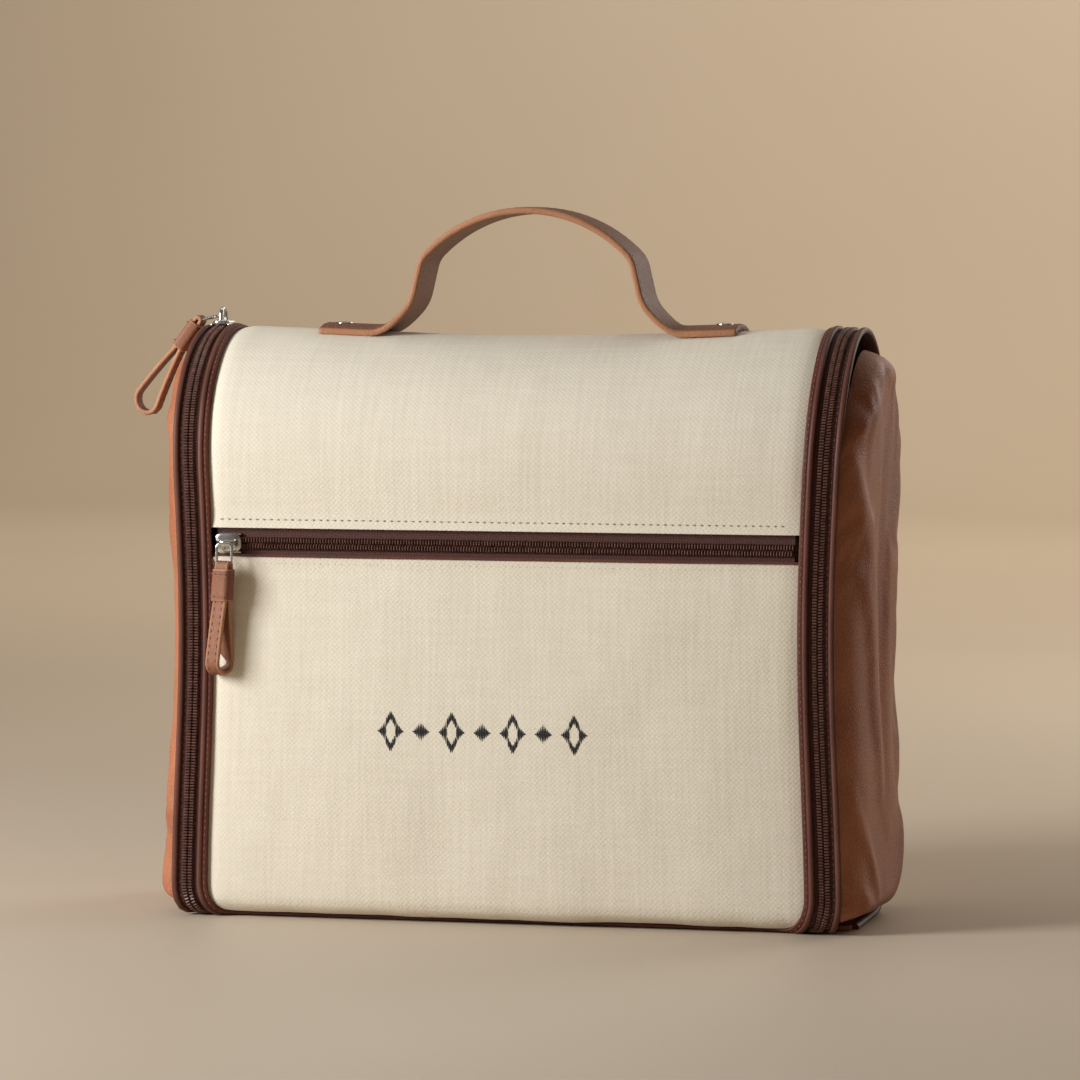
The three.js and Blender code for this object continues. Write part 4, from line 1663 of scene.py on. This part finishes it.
class Route:
    """A path in a plane, made of straights and arcs, that flat straps are bent along."""

    def __init__(self, start: tuple[float, float], heading: float) -> None:
        """Starts at a place with a heading; 0 is along the first axis, and a positive turn is to the left."""
        self.marks: list[tuple[float, float, float, float, float]] = []
        self.here = start
        self.heading = heading
        self.length = 0.0

    def ahead(self, length: float, turn: float = 0.0) -> "Route":
        """Goes on by a length while turning evenly by an angle in all."""
        self.marks.append((self.length, *self.here, self.heading, turn / length))
        bend = turn / length
        if abs(bend) < 1e-9:
            step = (length * math.cos(self.heading), length * math.sin(self.heading))
        else:
            last = self.heading + turn
            step = (
                (math.sin(last) - math.sin(self.heading)) / bend,
                (math.cos(self.heading) - math.cos(last)) / bend,
            )
        self.here = (self.here[0] + step[0], self.here[1] + step[1])
        self.heading += turn
        self.length += length
        return self

    def place(self, s: Array, off: Array) -> tuple[Array, Array]:
        """Points beside the path.

        Args:
            s: lengths along it.
            off: distances to its left.

        Returns:
            Their two coordinates.
        """
        a, b = np.zeros_like(s), np.zeros_like(s)
        for i, (start, x, y, heading, bend) in enumerate(self.marks):
            inside = (s >= start) | (i == 0)
            t = s - start
            angle = heading + bend * t
            if abs(bend) < 1e-9:
                px, py = x + t * math.cos(heading), y + t * math.sin(heading)
            else:
                px = x + (np.sin(angle) - math.sin(heading)) / bend
                py = y + (math.cos(heading) - np.cos(angle)) / bend
            a = np.where(inside, px - off * np.sin(angle), a)
            b = np.where(inside, py + off * np.cos(angle), b)
        return a, b


@dataclass(frozen=True)
class Strap:
    """A flat leather strap with burnished, rounded edges."""

    name: str
    length: float
    width: float
    thickness: float
    pitch: float = 1.6 * MM
    crown: float = 0.25 * MM

    def cut(self) -> Piece:
        """Cuts the strap flat: x along it, y across it, z its thickness.

        Returns:
            The strap, whose lower face lies at half its thickness below 0.
        """
        Bench.clear()
        bpy.ops.mesh.primitive_cube_add(size=1.0, location=(0.5, 0, 0))
        obj = Bench.named(self.name)
        obj.scale = (self.length, self.width, self.thickness)
        bpy.ops.object.transform_apply(location=True, rotation=True, scale=True)
        Bench.modifier(obj, "BEVEL", width=0.36 * self.thickness, segments=3)
        Bench.edit(obj)
        for side in (-1, 1):
            Bench.cut((0, side * (self.width / 2 - 0.62 * self.thickness), 0), (0, 1, 0))
        for i in range(1, int(self.length / self.pitch)):
            Bench.cut((i * self.pitch, 0, 0), (1, 0, 0))
        for share in (-0.25, 0.0, 0.25):
            Bench.cut((0, share * self.width, 0), (0, 1, 0))
        Bench.done()
        reach = np.array([abs(v.co.y) for v in obj.data.vertices])
        rim = ease((reach - (self.width / 2 - 0.5 * self.thickness)) / (0.3 * self.thickness))
        obj.data.attributes.new("rim", "FLOAT", "POINT").data.foreach_set("value", rim.astype(np.float32))

        def shape(points: Array) -> Array:
            """Crowns the upper face, falling away towards its edges."""
            x, y, z = points.T
            u = np.clip(np.abs(y) / (self.width / 2), 0, 1)
            z = z + np.where(z > 0, self.crown * (1 - u**4), 0)
            return rows_of(x, y, z)

        return Bench.smooth(Bench.move(obj, shape))


# ---- the handle


@dataclass
class Handle:
    """One leather strap that stands in an arch on the crown, with its feet sewn and riveted down."""

    form: Form
    studio: Studio
    foot_x: float = 84 * MM
    width: float = 28 * MM
    thickness: float = 2.5 * MM
    steep: float = math.radians(77)
    top_radius: float = 57 * MM

    def route(self) -> Route:
        """The strap's path in the front view, from the left foot's tip to the right one's."""
        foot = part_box("handle_left_foot")[0]
        level = foot.z + self.thickness / 2 + 0.1 * MM
        path = Route((-self.foot_x, level), 0.0)
        knee, shoulder = 17 * MM, 11 * MM
        shoulder_turn = math.radians(32)
        half_top = self.steep - shoulder_turn
        rise = 10.4 * MM
        foot_length = 22.0 * MM
        path.ahead(foot_length).ahead(knee * self.steep, self.steep).ahead(rise)
        path.ahead(shoulder * shoulder_turn, -shoulder_turn).ahead(
            2 * self.top_radius * half_top, -2 * half_top
        )
        path.ahead(shoulder * shoulder_turn, -shoulder_turn).ahead(rise)
        path.ahead(knee * self.steep, self.steep).ahead(foot_length)
        LOG.info("handle: ends at x %.1f mm", path.here[0] / MM)
        return path

    def build(self) -> None:
        """Cuts, bends and dresses the strap, its stitches and its rivets."""
        path = self.route()
        strap = Strap("handle_leather", path.length, self.width, self.thickness).cut()
        middle = (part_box("handle_left_foot")[0].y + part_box("handle_left_foot")[1].y) / 2
        sag = self.form.sag

        def bend(points: Array) -> Array:
            """Bends the flat strap along its path, and lets its feet follow the crown."""
            s, y, off = points.T
            x, z = path.place(s, off)
            on_crown = 1 - ease((np.minimum(s, path.length - s) - 20 * MM) / (16 * MM))
            settled = self.form.settle(rows_of(x, y, np.full_like(x, self.form.height)))
            drop = self.form.height - settled[:, 2]
            curve = self.form.crown_radius - np.sqrt(np.maximum(self.form.crown_radius**2 - y**2, 0))
            lean = 0.0012 * np.sin(s / path.length * TURN)
            return rows_of(x, middle + y + lean, z - (drop + curve) * on_crown - 0.3 * sag * (1 - on_crown))

        Bench.move(strap, bend)
        nodes = ["handle_strap", "handle_left_foot", "handle_right_foot"]
        self.studio.dress(strap, Finish.STRAP, Joints.HANDLE, nodes)
        frames = []
        inset = self.width / 2 - 2.6 * MM
        pitch = 3.4 * MM
        count = int(path.length / pitch)
        for edge in (-inset, inset):
            for i in range(1, count):
                frames.append(
                    frame_matrix(
                        (i * pitch, edge, self.thickness / 2 + 0.02 * MM), (1, 0, 0), (0, 0, -1), (0, 1, 0)
                    ),
                )
        for tip in (3 * MM, path.length - 3 * MM):
            for i in range(int(2 * inset / pitch)):
                y = -inset + (i + 0.5) * pitch
                frames.append(
                    frame_matrix((tip, y, self.thickness / 2 + 0.04 * MM), (0, 1, 0), (0, 0, -1), (-1, 0, 0))
                )
        seam = stamp(Needle.stitch(2.5 * MM, 0.6 * MM), frames, "handle_stitches")
        Bench.move(seam, bend)
        self.studio.dress(seam, Finish.LEATHER_SEAM, Joints.HANDLE)
        self.rivets(bend)

    def rivets(self, bend: Callable[[Array], Array]) -> None:
        """The domed rivets near the tips of the feet."""
        length = self.route().length
        for side, at in (("left", 7 * MM), ("right", length - 7 * MM)):
            centre = bend(np.array([[at, 0.0, self.thickness / 2 + 0.1 * MM]]))[0]
            Bench.clear()
            bpy.ops.mesh.primitive_cylinder_add(vertices=28, radius=3.4 * MM, depth=0.7 * MM, location=centre)
            rivet = Bench.named(f"handle_{side}_stud")
            Bench.edit(rivet, everything=False)
            Bench.pick(lambda co, top=centre[2] + 0.3 * MM: co.z > top)
            bpy.ops.mesh.inset(thickness=0.9 * MM)
            bpy.ops.transform.translate(value=(0, 0, 0.2 * MM))
            bpy.ops.mesh.inset(thickness=1.2 * MM)
            bpy.ops.transform.translate(value=(0, 0, 0.2 * MM))
            Bench.done()
            Bench.modifier(rivet, "BEVEL", width=0.2 * MM, segments=2)
            Bench.smooth(rivet, math.radians(50))
            self.studio.dress(rivet, Finish.NICKEL, "top_flap", [f"handle_{side}_rivet"])


# ---- the pocket's zip


@dataclass
class PocketZip:
    """The zip across the front: two tapes and a coil between them."""

    form: Form
    studio: Studio
    pitch: float = 1.14 * MM

    def build(self) -> None:
        """Makes and dresses the tapes and both rows of loops."""
        form, studio = self.form, self.studio
        for part in ("upper", "lower"):
            low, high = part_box(f"pocket_zip_{part}_tape")
            runs = (low.z - 2.4 * MM, high.z + 1 * MM) if part == "upper" else (
                low.z - 1 * MM, high.z + 2.4 * MM
            )
            lift = form.front - low.y
            tape = Panel(
                f"pocket_{part}_tape", high.x, runs, high.y - low.y, lift=lift, pitch=1.5 * MM, corner=0
            )
            cloth = tape.cut(lambda x, z: 0.12 * MM * ripple(x, z, 160, 2.8))
            studio.sew(cloth, Finish.TAPE, "front_flap", [f"pocket_zip_{part}_tape"])
        low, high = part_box("pocket_zip_coil")
        middle = (low.z + high.z) / 2
        zip_maker = MainZip(form, studio)
        frames = []
        lean = math.radians(12)
        for share, sign in ((1, -1), (-1, 1)):
            run = middle + share * 1.16 * MM
            shift = 0.25 * self.pitch * share
            for i in range(int(2 * high.x / self.pitch)):
                x = -high.x + (i + 0.5) * self.pitch + shift
                along = (math.cos(sign * lean), 0.0, math.sin(sign * lean))
                frames.append(
                    frame_matrix((x, -(form.front - low.y) - 0.05 * MM, run), along, (0, 0, 1), (0, -1, 0))
                )
        coil = stamp(zip_maker.loop(), frames, "pocket_coil")
        studio.sew(Bench.smooth(coil), Finish.COIL, "front_flap", ["pocket_zip_coil"])


# ---- sliders and pulls


class Metal:
    """Small nickel parts."""

    @staticmethod
    def block(name: str, low: Sequence[float], high: Sequence[float], bevel: float) -> Piece:
        """A block between two corners, with rounded edges."""
        Bench.clear()
        middle = [(a + b) / 2 for a, b in zip(low, high, strict=True)]
        bpy.ops.mesh.primitive_cube_add(size=1.0, location=middle)
        obj = Bench.named(name, [b - a for a, b in zip(low, high, strict=True)])
        return Bench.modifier(obj, "BEVEL", width=bevel, segments=3)

    @staticmethod
    def plate(name: str, length: float, width: float, thickness: float) -> Piece:
        """A slider's plate, flat: x along it, its shoulders at +x, its waist at -x, and z its thickness."""
        Bench.clear()
        bpy.ops.mesh.primitive_circle_add(vertices=40, radius=0.5, fill_type="NGON")
        obj = Bench.named(name)

        def outline(points: Array) -> Array:
            """Two lobes at the shoulders that narrow to the waist."""
            angle = np.arctan2(points[:, 1], points[:, 0])
            x = 0.5 * np.sign(np.cos(angle)) * np.abs(np.cos(angle)) ** 0.62
            y = 0.5 * np.sign(np.sin(angle)) * np.abs(np.sin(angle)) ** 0.62
            narrow = 1 - 0.24 * (0.5 - x)
            notch = 0.1 * np.exp(-((y / 0.14) ** 2)) * (x > 0.2)
            return rows_of((x - notch) * length, y * narrow * width, np.zeros_like(x))

        Bench.move(obj, outline)
        Bench.edit(obj)
        bpy.ops.mesh.extrude_region_move(TRANSFORM_OT_translate={"value": (0, 0, thickness)})
        bpy.ops.mesh.inset(thickness=0.5 * MM)
        bpy.ops.transform.translate(value=(0, 0, 0.28 * MM))
        bpy.ops.mesh.inset(thickness=0.9 * MM)
        bpy.ops.transform.translate(value=(0, 0, 0.1 * MM))
        Bench.done()
        Bench.tidy(obj)
        Bench.modifier(obj, "BEVEL", width=0.16 * MM, segments=2)
        return obj

    @staticmethod
    def bridge(name: str, length: float, width: float, rise: float, wire: float) -> Piece:
        """The arched loop on a slider's plate: x along the slider, z off its plate."""
        path = Route((-length / 2, 0.0), math.radians(80))
        bend = min(0.42 * length, 0.8 * rise)
        path.ahead(rise - bend * 0.75).ahead(bend * math.radians(80), -math.radians(80))
        path.ahead(max(0.2 * MM, -2 * path.here[0]))
        path.ahead(bend * math.radians(80), -math.radians(80)).ahead(rise - bend * 0.75)
        strap = Strap(name, path.length, width, wire, pitch=0.45 * MM, crown=0.1 * MM).cut()

        def bend_it(points: Array) -> Array:
            """Bends the bar along the bridge's path."""
            s, y, off = points.T
            x, z = path.place(s, off)
            return rows_of(x, y, z - wire / 2)

        return Bench.move(strap, bend_it)

    @staticmethod
    def ring(name: str, half: tuple[float, float], corner: float, wire: float) -> Piece:
        """A closed wire ring with rounded corners in the x and z plane, about its middle."""
        Bench.clear()
        bpy.ops.mesh.primitive_torus_add(
            major_segments=64,
            minor_segments=12,
            major_radius=10 * MM,
            minor_radius=wire / 2,
            rotation=(QUARTER, 0, 0),
        )
        obj = Bench.named(name)

        def square(points: Array) -> Array:
            """Carries the round ring over to a rounded rectangle."""
            x, y, z = points.T
            angle = np.arctan2(z, x)
            tube = np.hypot(x, z) - 10 * MM
            share = (angle / (TURN)) % 1.0
            inner = (half[0] - corner, half[1] - corner)
            path = Route((half[0], 0.0), QUARTER)
            quarter = corner * QUARTER
            path.ahead(inner[1]).ahead(quarter, QUARTER).ahead(2 * inner[0]).ahead(quarter, QUARTER)
            path.ahead(2 * inner[1]).ahead(quarter, QUARTER).ahead(2 * inner[0]).ahead(quarter, QUARTER)
            path.ahead(inner[1])
            px, pz = path.place(share * path.length, -tube)
            return rows_of(px, y, pz)

        return Bench.smooth(Bench.move(obj, square))


@dataclass(frozen=True)
class Hang:
    """Where a leather pull hangs: its eye's place, and the directions out from the bag, across and up."""

    eye: Vector
    out: Vector
    across: Vector
    up: Vector

    def place(self, out: Array, across: Array, up: Array) -> Array:
        """World rows of points given in the pull's own directions."""
        own = rows_of(out, across, up)
        axes = np.array([self.out, self.across, self.up])
        return own @ axes + np.array(self.eye)


@dataclass(frozen=True)
class LeatherPull:
    """A zip pull: a leather strip looped through a metal eye, held by a sewn leather sleeve."""

    name: str
    hang: Hang
    body: str
    loop_node: str
    sleeve_node: str
    belly: float = 4.1 * MM
    width: float = 8.8 * MM
    ply: float = 1.6 * MM
    sleeve: float = 12.4 * MM
    drop: float = 1.4 * MM
    straight: float = 23.0 * MM
    droop: float = 0.0
    lean: float = 0.0

    def trail(self, out: Array, across: Array, up: Array) -> Array:
        """Hangs points, letting the lower end droop and lean."""
        return self.hang.place(out - self.droop * up**2, across + self.lean * np.minimum(up, 0), up)

    def build(self, studio: Studio) -> None:
        """Cuts, bends and dresses the strip, the sleeve and their stitches."""
        neck = 1.15 * MM
        flare = math.asin((self.belly - neck) / (self.straight + self.belly))
        path = Route((neck, -self.drop - self.sleeve / 2), QUARTER)
        path.ahead(self.drop + self.sleeve / 2).ahead(neck * math.pi, math.pi)
        path.ahead(self.drop + self.sleeve).ahead(6 * MM * flare, -flare).ahead(self.straight)
        radius = -path.here[0] / math.cos(flare)
        path.ahead(radius * (math.pi + 2 * flare), math.pi + 2 * flare).ahead(self.straight)
        path.ahead(6 * MM * flare, -flare).ahead(self.sleeve / 2)
        strip = Strap(
            f"{self.name}_leather", path.length, self.width, self.ply, pitch=0.9 * MM, crown=0.0
        ).cut()

        def bend(points: Array) -> Array:
            """Bends the strip along its path."""
            s, y, off = points.T
            out, up = path.place(s, off)
            return self.trail(out, y, up)

        Bench.move(strip, bend)
        studio.dress(Bench.tidy(strip), Finish.PULL, self.body, [self.loop_node])
        frames = []
        inset = self.width / 2 - 1.5 * MM
        pitch = 2.9 * MM
        for edge in (-inset, inset):
            for i in range(int(path.length / pitch)):
                matrix = frame_matrix(
                    (i * pitch, edge, -self.ply / 2 - 0.14 * MM), (1, 0, 0), (0, 0, 1), (0, -1, 0)
                )
                frames.append(matrix)
        seam = stamp(Needle.stitch(2.0 * MM, 0.46 * MM), frames, f"{self.name}_stitches")
        studio.dress(Bench.move(seam, bend), Finish.LEATHER_SEAM, self.body)
        self.wrap(studio)

    def wrap(self, studio: Studio) -> None:
        """The sleeve round both plies."""
        half_out, half_across, corner = 2.25 * MM, self.width / 2 + 0.55 * MM, 1.1 * MM
        path = Route((-half_out, 0.0), -QUARTER)
        quarter = corner * QUARTER
        for length in (half_across - corner, 2 * (half_out - corner), 2 * (half_across - corner)):
            path.ahead(length).ahead(quarter, QUARTER)
        path.ahead(2 * (half_out - corner)).ahead(quarter, QUARTER).ahead(half_across - corner)
        band = Strap(
            f"{self.name}_sleeve", path.length, self.sleeve, 1.0 * MM, pitch=0.8 * MM, crown=0.0
        ).cut()

        def bend(points: Array) -> Array:
            """Bends the band round the plies."""
            s, y, off = points.T
            out, across = path.place(s, off)
            return self.trail(out, across, y - self.drop - self.sleeve / 2)

        Bench.move(band, bend)
        studio.dress(Bench.tidy(band), Finish.PULL, self.body, [self.sleeve_node])
        frames = []
        for up in (-0.36 * self.sleeve, 0.36 * self.sleeve):
            for i in range(3):
                x = (i - 1) * 2.7 * MM
                frames.append(frame_matrix((half_out + 0.62 * MM, x, up), (0, 1, 0), (1, 0, 0), (0, 0, 1)))
        seam = stamp(Needle.stitch(2.1 * MM, 0.5 * MM), frames, f"{self.name}_sleeve_stitches")

        def carry(points: Array) -> Array:
            """Puts the sleeve's stitches on its outer face."""
            out, across, up = points.T
            return self.trail(out, across, up - self.drop - self.sleeve / 2)

        studio.dress(Bench.move(seam, carry), Finish.LEATHER_SEAM, self.body)


@dataclass
class Sliders:
    """Both sliders, with their bridges, eyes and leather pulls."""

    form: Form
    studio: Studio
    plate: float = 1.35 * MM
    wire: float = 1.2 * MM

    def put(self, obj: Piece, frame: Array) -> Piece:
        """Moves a part modelled at the origin to its frame."""
        obj.data.transform(Matrix(frame.tolist()))
        return Bench.smooth(obj, math.radians(50))

    def body(self, name: str, size: Vector, frame: Array) -> Piece:
        """A slider's body: its plate, with flanges that reach down both sides of the coil."""
        parts = [Metal.plate(name, size.x, size.y, self.plate)]
        for sign in (-1, 1):
            low = (-0.46 * size.x, sign * 0.4 * size.y - 0.45 * MM, -0.9 * MM)
            high = (0.3 * size.x, sign * 0.4 * size.y + 0.45 * MM, 0.4 * MM)
            parts.append(Metal.block("flange", low, high, 0.3 * MM))
        return self.put(Bench.join(parts, name), frame)

    def build(self) -> None:
        """Makes and dresses both sliders."""
        self.pocket()
        self.main()

    def pocket(self) -> None:
        """The pocket's slider, its wire eye and its pull."""
        studio = self.studio
        low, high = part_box("pocket_slider_body")
        middle = (low + high) / 2
        axes = ((-1, 0, 0), (0, 0, -1), (0, -1, 0))
        size = Vector((high.x - low.x, high.z - low.z, 0))
        frame = frame_matrix((middle.x, high.y - 0.1 * MM, middle.z), *axes)
        studio.dress(
            self.body("pocket_slider", size, frame), Finish.NICKEL, "pocket_slider", ["pocket_slider_body"]
        )
        low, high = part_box("pocket_slider_bridge")
        arch = Metal.bridge("pocket_slider_arch", 7.6 * MM, 2.5 * MM, high.y - low.y + 0.9 * MM, 0.95 * MM)
        arch = self.put(arch, frame_matrix((middle.x, high.y + 0.7 * MM, middle.z), *axes))
        studio.dress(arch, Finish.NICKEL, "pocket_slider", ["pocket_slider_bridge"])
        low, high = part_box("pocket_pull_bail")
        eye = (low + high) / 2
        half = ((high.x - low.x - self.wire) / 2, (high.z - low.z - self.wire) / 2)
        ring = Metal.ring("pocket_pull_eye", half, 1.5 * MM, self.wire)
        ring.data.transform(Matrix.Translation(eye))
        studio.dress(ring, Finish.NICKEL, "pocket_pull", ["pocket_pull_bail"])
        turn = math.radians(24)
        out, across = Vector((-math.sin(turn), -math.cos(turn), 0)), Vector(
            (math.cos(turn), -math.sin(turn), 0)
        )
        hang = Hang(Vector((eye.x, eye.y, low.z + self.wire / 2)), out, across, Vector((0, 0, 1)))
        pull = LeatherPull(
            "pocket_pull",
            hang,
            "pocket_pull",
            "pocket_pull_loop",
            "pocket_pull_keeper",
            belly=4.9 * MM,
            width=6.6 * MM,
            droop=1.1,
            lean=0.1,
        )
        pull.build(studio)

    def main(self) -> None:
        """The main slider on the crown, its ring and its pull, which hangs over the left end."""
        studio = self.studio
        low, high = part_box("main_slider_body")
        middle = (low + high) / 2
        axes = ((0, 1, 0), (-1, 0, 0), (0, 0, 1))
        size = Vector((high.y - low.y, high.x - low.x, 0))
        deck = high.z - 2 * MM
        frame = frame_matrix((middle.x, middle.y, deck + 0.1 * MM), *axes)
        studio.dress(
            self.body("main_slider_top", size, frame), Finish.NICKEL, "main_slider", ["main_slider_body"]
        )
        low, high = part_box("main_slider_under_plate")
        under = Metal.block("main_slider_under", low, high, 0.3 * MM)
        studio.dress(Bench.smooth(under), Finish.NICKEL, "main_slider", ["main_slider_under_plate"])
        low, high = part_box("main_slider_bridge")
        arch = Metal.bridge("main_slider_arch", 7.6 * MM, 1.5 * MM, high.z - low.z + 1.6 * MM, 0.9 * MM)
        arch = self.put(arch, frame_matrix((middle.x, middle.y, low.z - 0.5 * MM), *axes))
        studio.dress(arch, Finish.NICKEL, "main_slider", ["main_slider_bridge"])
        low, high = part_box("main_pull_bar")
        pivot = Vector((middle.x, middle.y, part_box("main_slider_bridge")[0].z + 1.7 * MM))
        ring = Metal.ring("main_pull_ring", (4.6 * MM, 2.4 * MM), 1.4 * MM, 1.05 * MM)
        tilt = 0.24
        along = Vector((math.cos(tilt), 0, math.sin(tilt)))
        up = Vector((-math.sin(tilt), 0, math.cos(tilt)))
        centre = pivot - along * 5.6 * MM
        self.put(ring, frame_matrix(centre, along, -up, (0, 1, 0)))
        studio.dress(ring, Finish.NICKEL, "main_pull", ["main_pull_bar"])
        slope = 0.68
        eye = pivot - along * 10.2 * MM
        hang = Hang(
            eye, Vector((-math.cos(slope), 0, math.sin(slope))), Vector((0, 1, 0)),
            Vector((math.sin(slope), 0, math.cos(slope))),
        )
        pull = LeatherPull(
            "main_pull",
            hang,
            "main_pull",
            "main_pull_loop",
            "main_pull_keeper",
            belly=5.6 * MM,
            width=7.2 * MM,
            droop=2.2,
        )
        pull.build(studio)


# ---- the room


class Room:
    """The pale floor and backdrop, soft lights and the camera."""

    @staticmethod
    def floor() -> None:
        """A pale floor that turns up into the backdrop far behind."""
        Bench.clear()
        bpy.ops.mesh.primitive_plane_add(size=6.0, location=(0, 0.6, 0))
        floor = Bench.named("floor")
        Bench.edit(floor, everything=False)
        bpy.ops.mesh.select_mode(type="EDGE")
        model = bmesh.from_edit_mesh(floor.data)
        for edge in model.edges:
            edge.select_set(all(v.co.y > 3 for v in edge.verts))
        bmesh.update_edit_mesh(floor.data)
        bpy.ops.mesh.extrude_region_move(TRANSFORM_OT_translate={"value": (0, 0.4, 3.0)})
        Bench.done()
        Bench.modifier(floor, "BEVEL", width=0.8, segments=10)
        Bench.smooth(floor, math.radians(60))
        paint = Paint("pale_floor")
        cloud = paint.noise(paint.place(), 1.6, 3)
        floor.data.materials.append(
            paint.finish(
                Base_Color=paint.blend(cloud, (0.52, 0.42, 0.315), (0.58, 0.48, 0.37)), Roughness=0.55
            )
        )

    @staticmethod
    def light(
        name: str,
        place: Sequence[float],
        aim: Sequence[float],
        size: tuple[float, float],
        watts: float,
        colour: Colour,
    ) -> None:
        """One soft area light."""
        data = bpy.data.lights.new(name, "AREA")
        data.shape = "RECTANGLE"
        data.size, data.size_y = size
        data.energy = watts
        data.color = colour
        lamp = bpy.data.objects.new(name, data)
        lamp.location = place
        lamp.rotation_euler = (Vector(aim) - Vector(place)).to_track_quat("-Z", "Y").to_euler()
        bpy.context.scene.collection.objects.link(lamp)

    @staticmethod
    def lights() -> None:
        """A large key at the front left, a weak fill, a rim from the back right and a pale surround."""
        aim = (0, 0, 0.12)
        Room.light("key", (-0.85, -0.62, 0.48), aim, (0.4, 0.5), 15.4, (0.94, 0.975, 1.0))
        Room.light("fill", (0.6, -1.6, 0.25), aim, (1.2, 0.9), 1.0, (1.0, 0.72, 0.45))
        Room.light("rim", (0.7, 1.0, 0.7), aim, (0.6, 1.0), 6, (1.0, 0.98, 0.95))
        Room.light("top", (-0.2, 0.3, 1.3), aim, (1.0, 0.8), 2.4, (1.0, 0.98, 0.94))
        Room.light("wash", (0.3, 1.5, 2.2), (0.3, 3.8, 0.7), (3.0, 1.0), 75, (1.0, 0.93, 0.82))
        world = bpy.data.worlds.new("surround")
        world.use_nodes = True
        background = world.node_tree.nodes["Background"]
        background.inputs["Color"].default_value = (0.90, 0.76, 0.60, 1)
        background.inputs["Strength"].default_value = 0.10
        bpy.context.scene.world = world
        bpy.context.scene.view_settings.view_transform = "Standard"

    @staticmethod
    def camera() -> None:
        """The camera: a long lens a little to the bag's right, almost level with it."""
        turn, rise, distance = math.radians(13.3), math.radians(3.5), 2.0
        away = Vector((math.sin(turn) * math.cos(rise), -math.cos(turn) * math.cos(rise), math.sin(rise)))
        right = Vector((math.cos(turn), math.sin(turn), 0))
        aim = Vector((0, 0, 0.120 + 0.0267)) + right * 0.0033
        data = bpy.data.cameras.new("camera")
        data.lens = 168.9
        data.sensor_width = 36
        camera = bpy.data.objects.new("camera", data)
        camera.location = aim + away * distance
        camera.rotation_euler = away.to_track_quat("Z", "Y").to_euler()
        bpy.context.scene.collection.objects.link(camera)
        bpy.context.scene.camera = camera


def main() -> None:
    """Builds the bag, piece by piece."""
    logging.basicConfig(level=logging.INFO, format="%(name)s: %(message)s")
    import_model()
    Room.camera()
    form = Form.from_frame()
    studio = Studio(form)
    LOG.info(
        "crown starts at run %.4f, hinge at %.4f, base at %.4f", form.crown_run, form.hinge_run, form.base_run
    )
    for maker in (Cover, MainZip, Tub, Ends, PocketZip, Handle, Sliders):
        maker(form, studio).build()
        LOG.info("%s is made", maker.__name__)
    Room.floor()
    Room.lights()


if __name__ == "__main__":
    main()
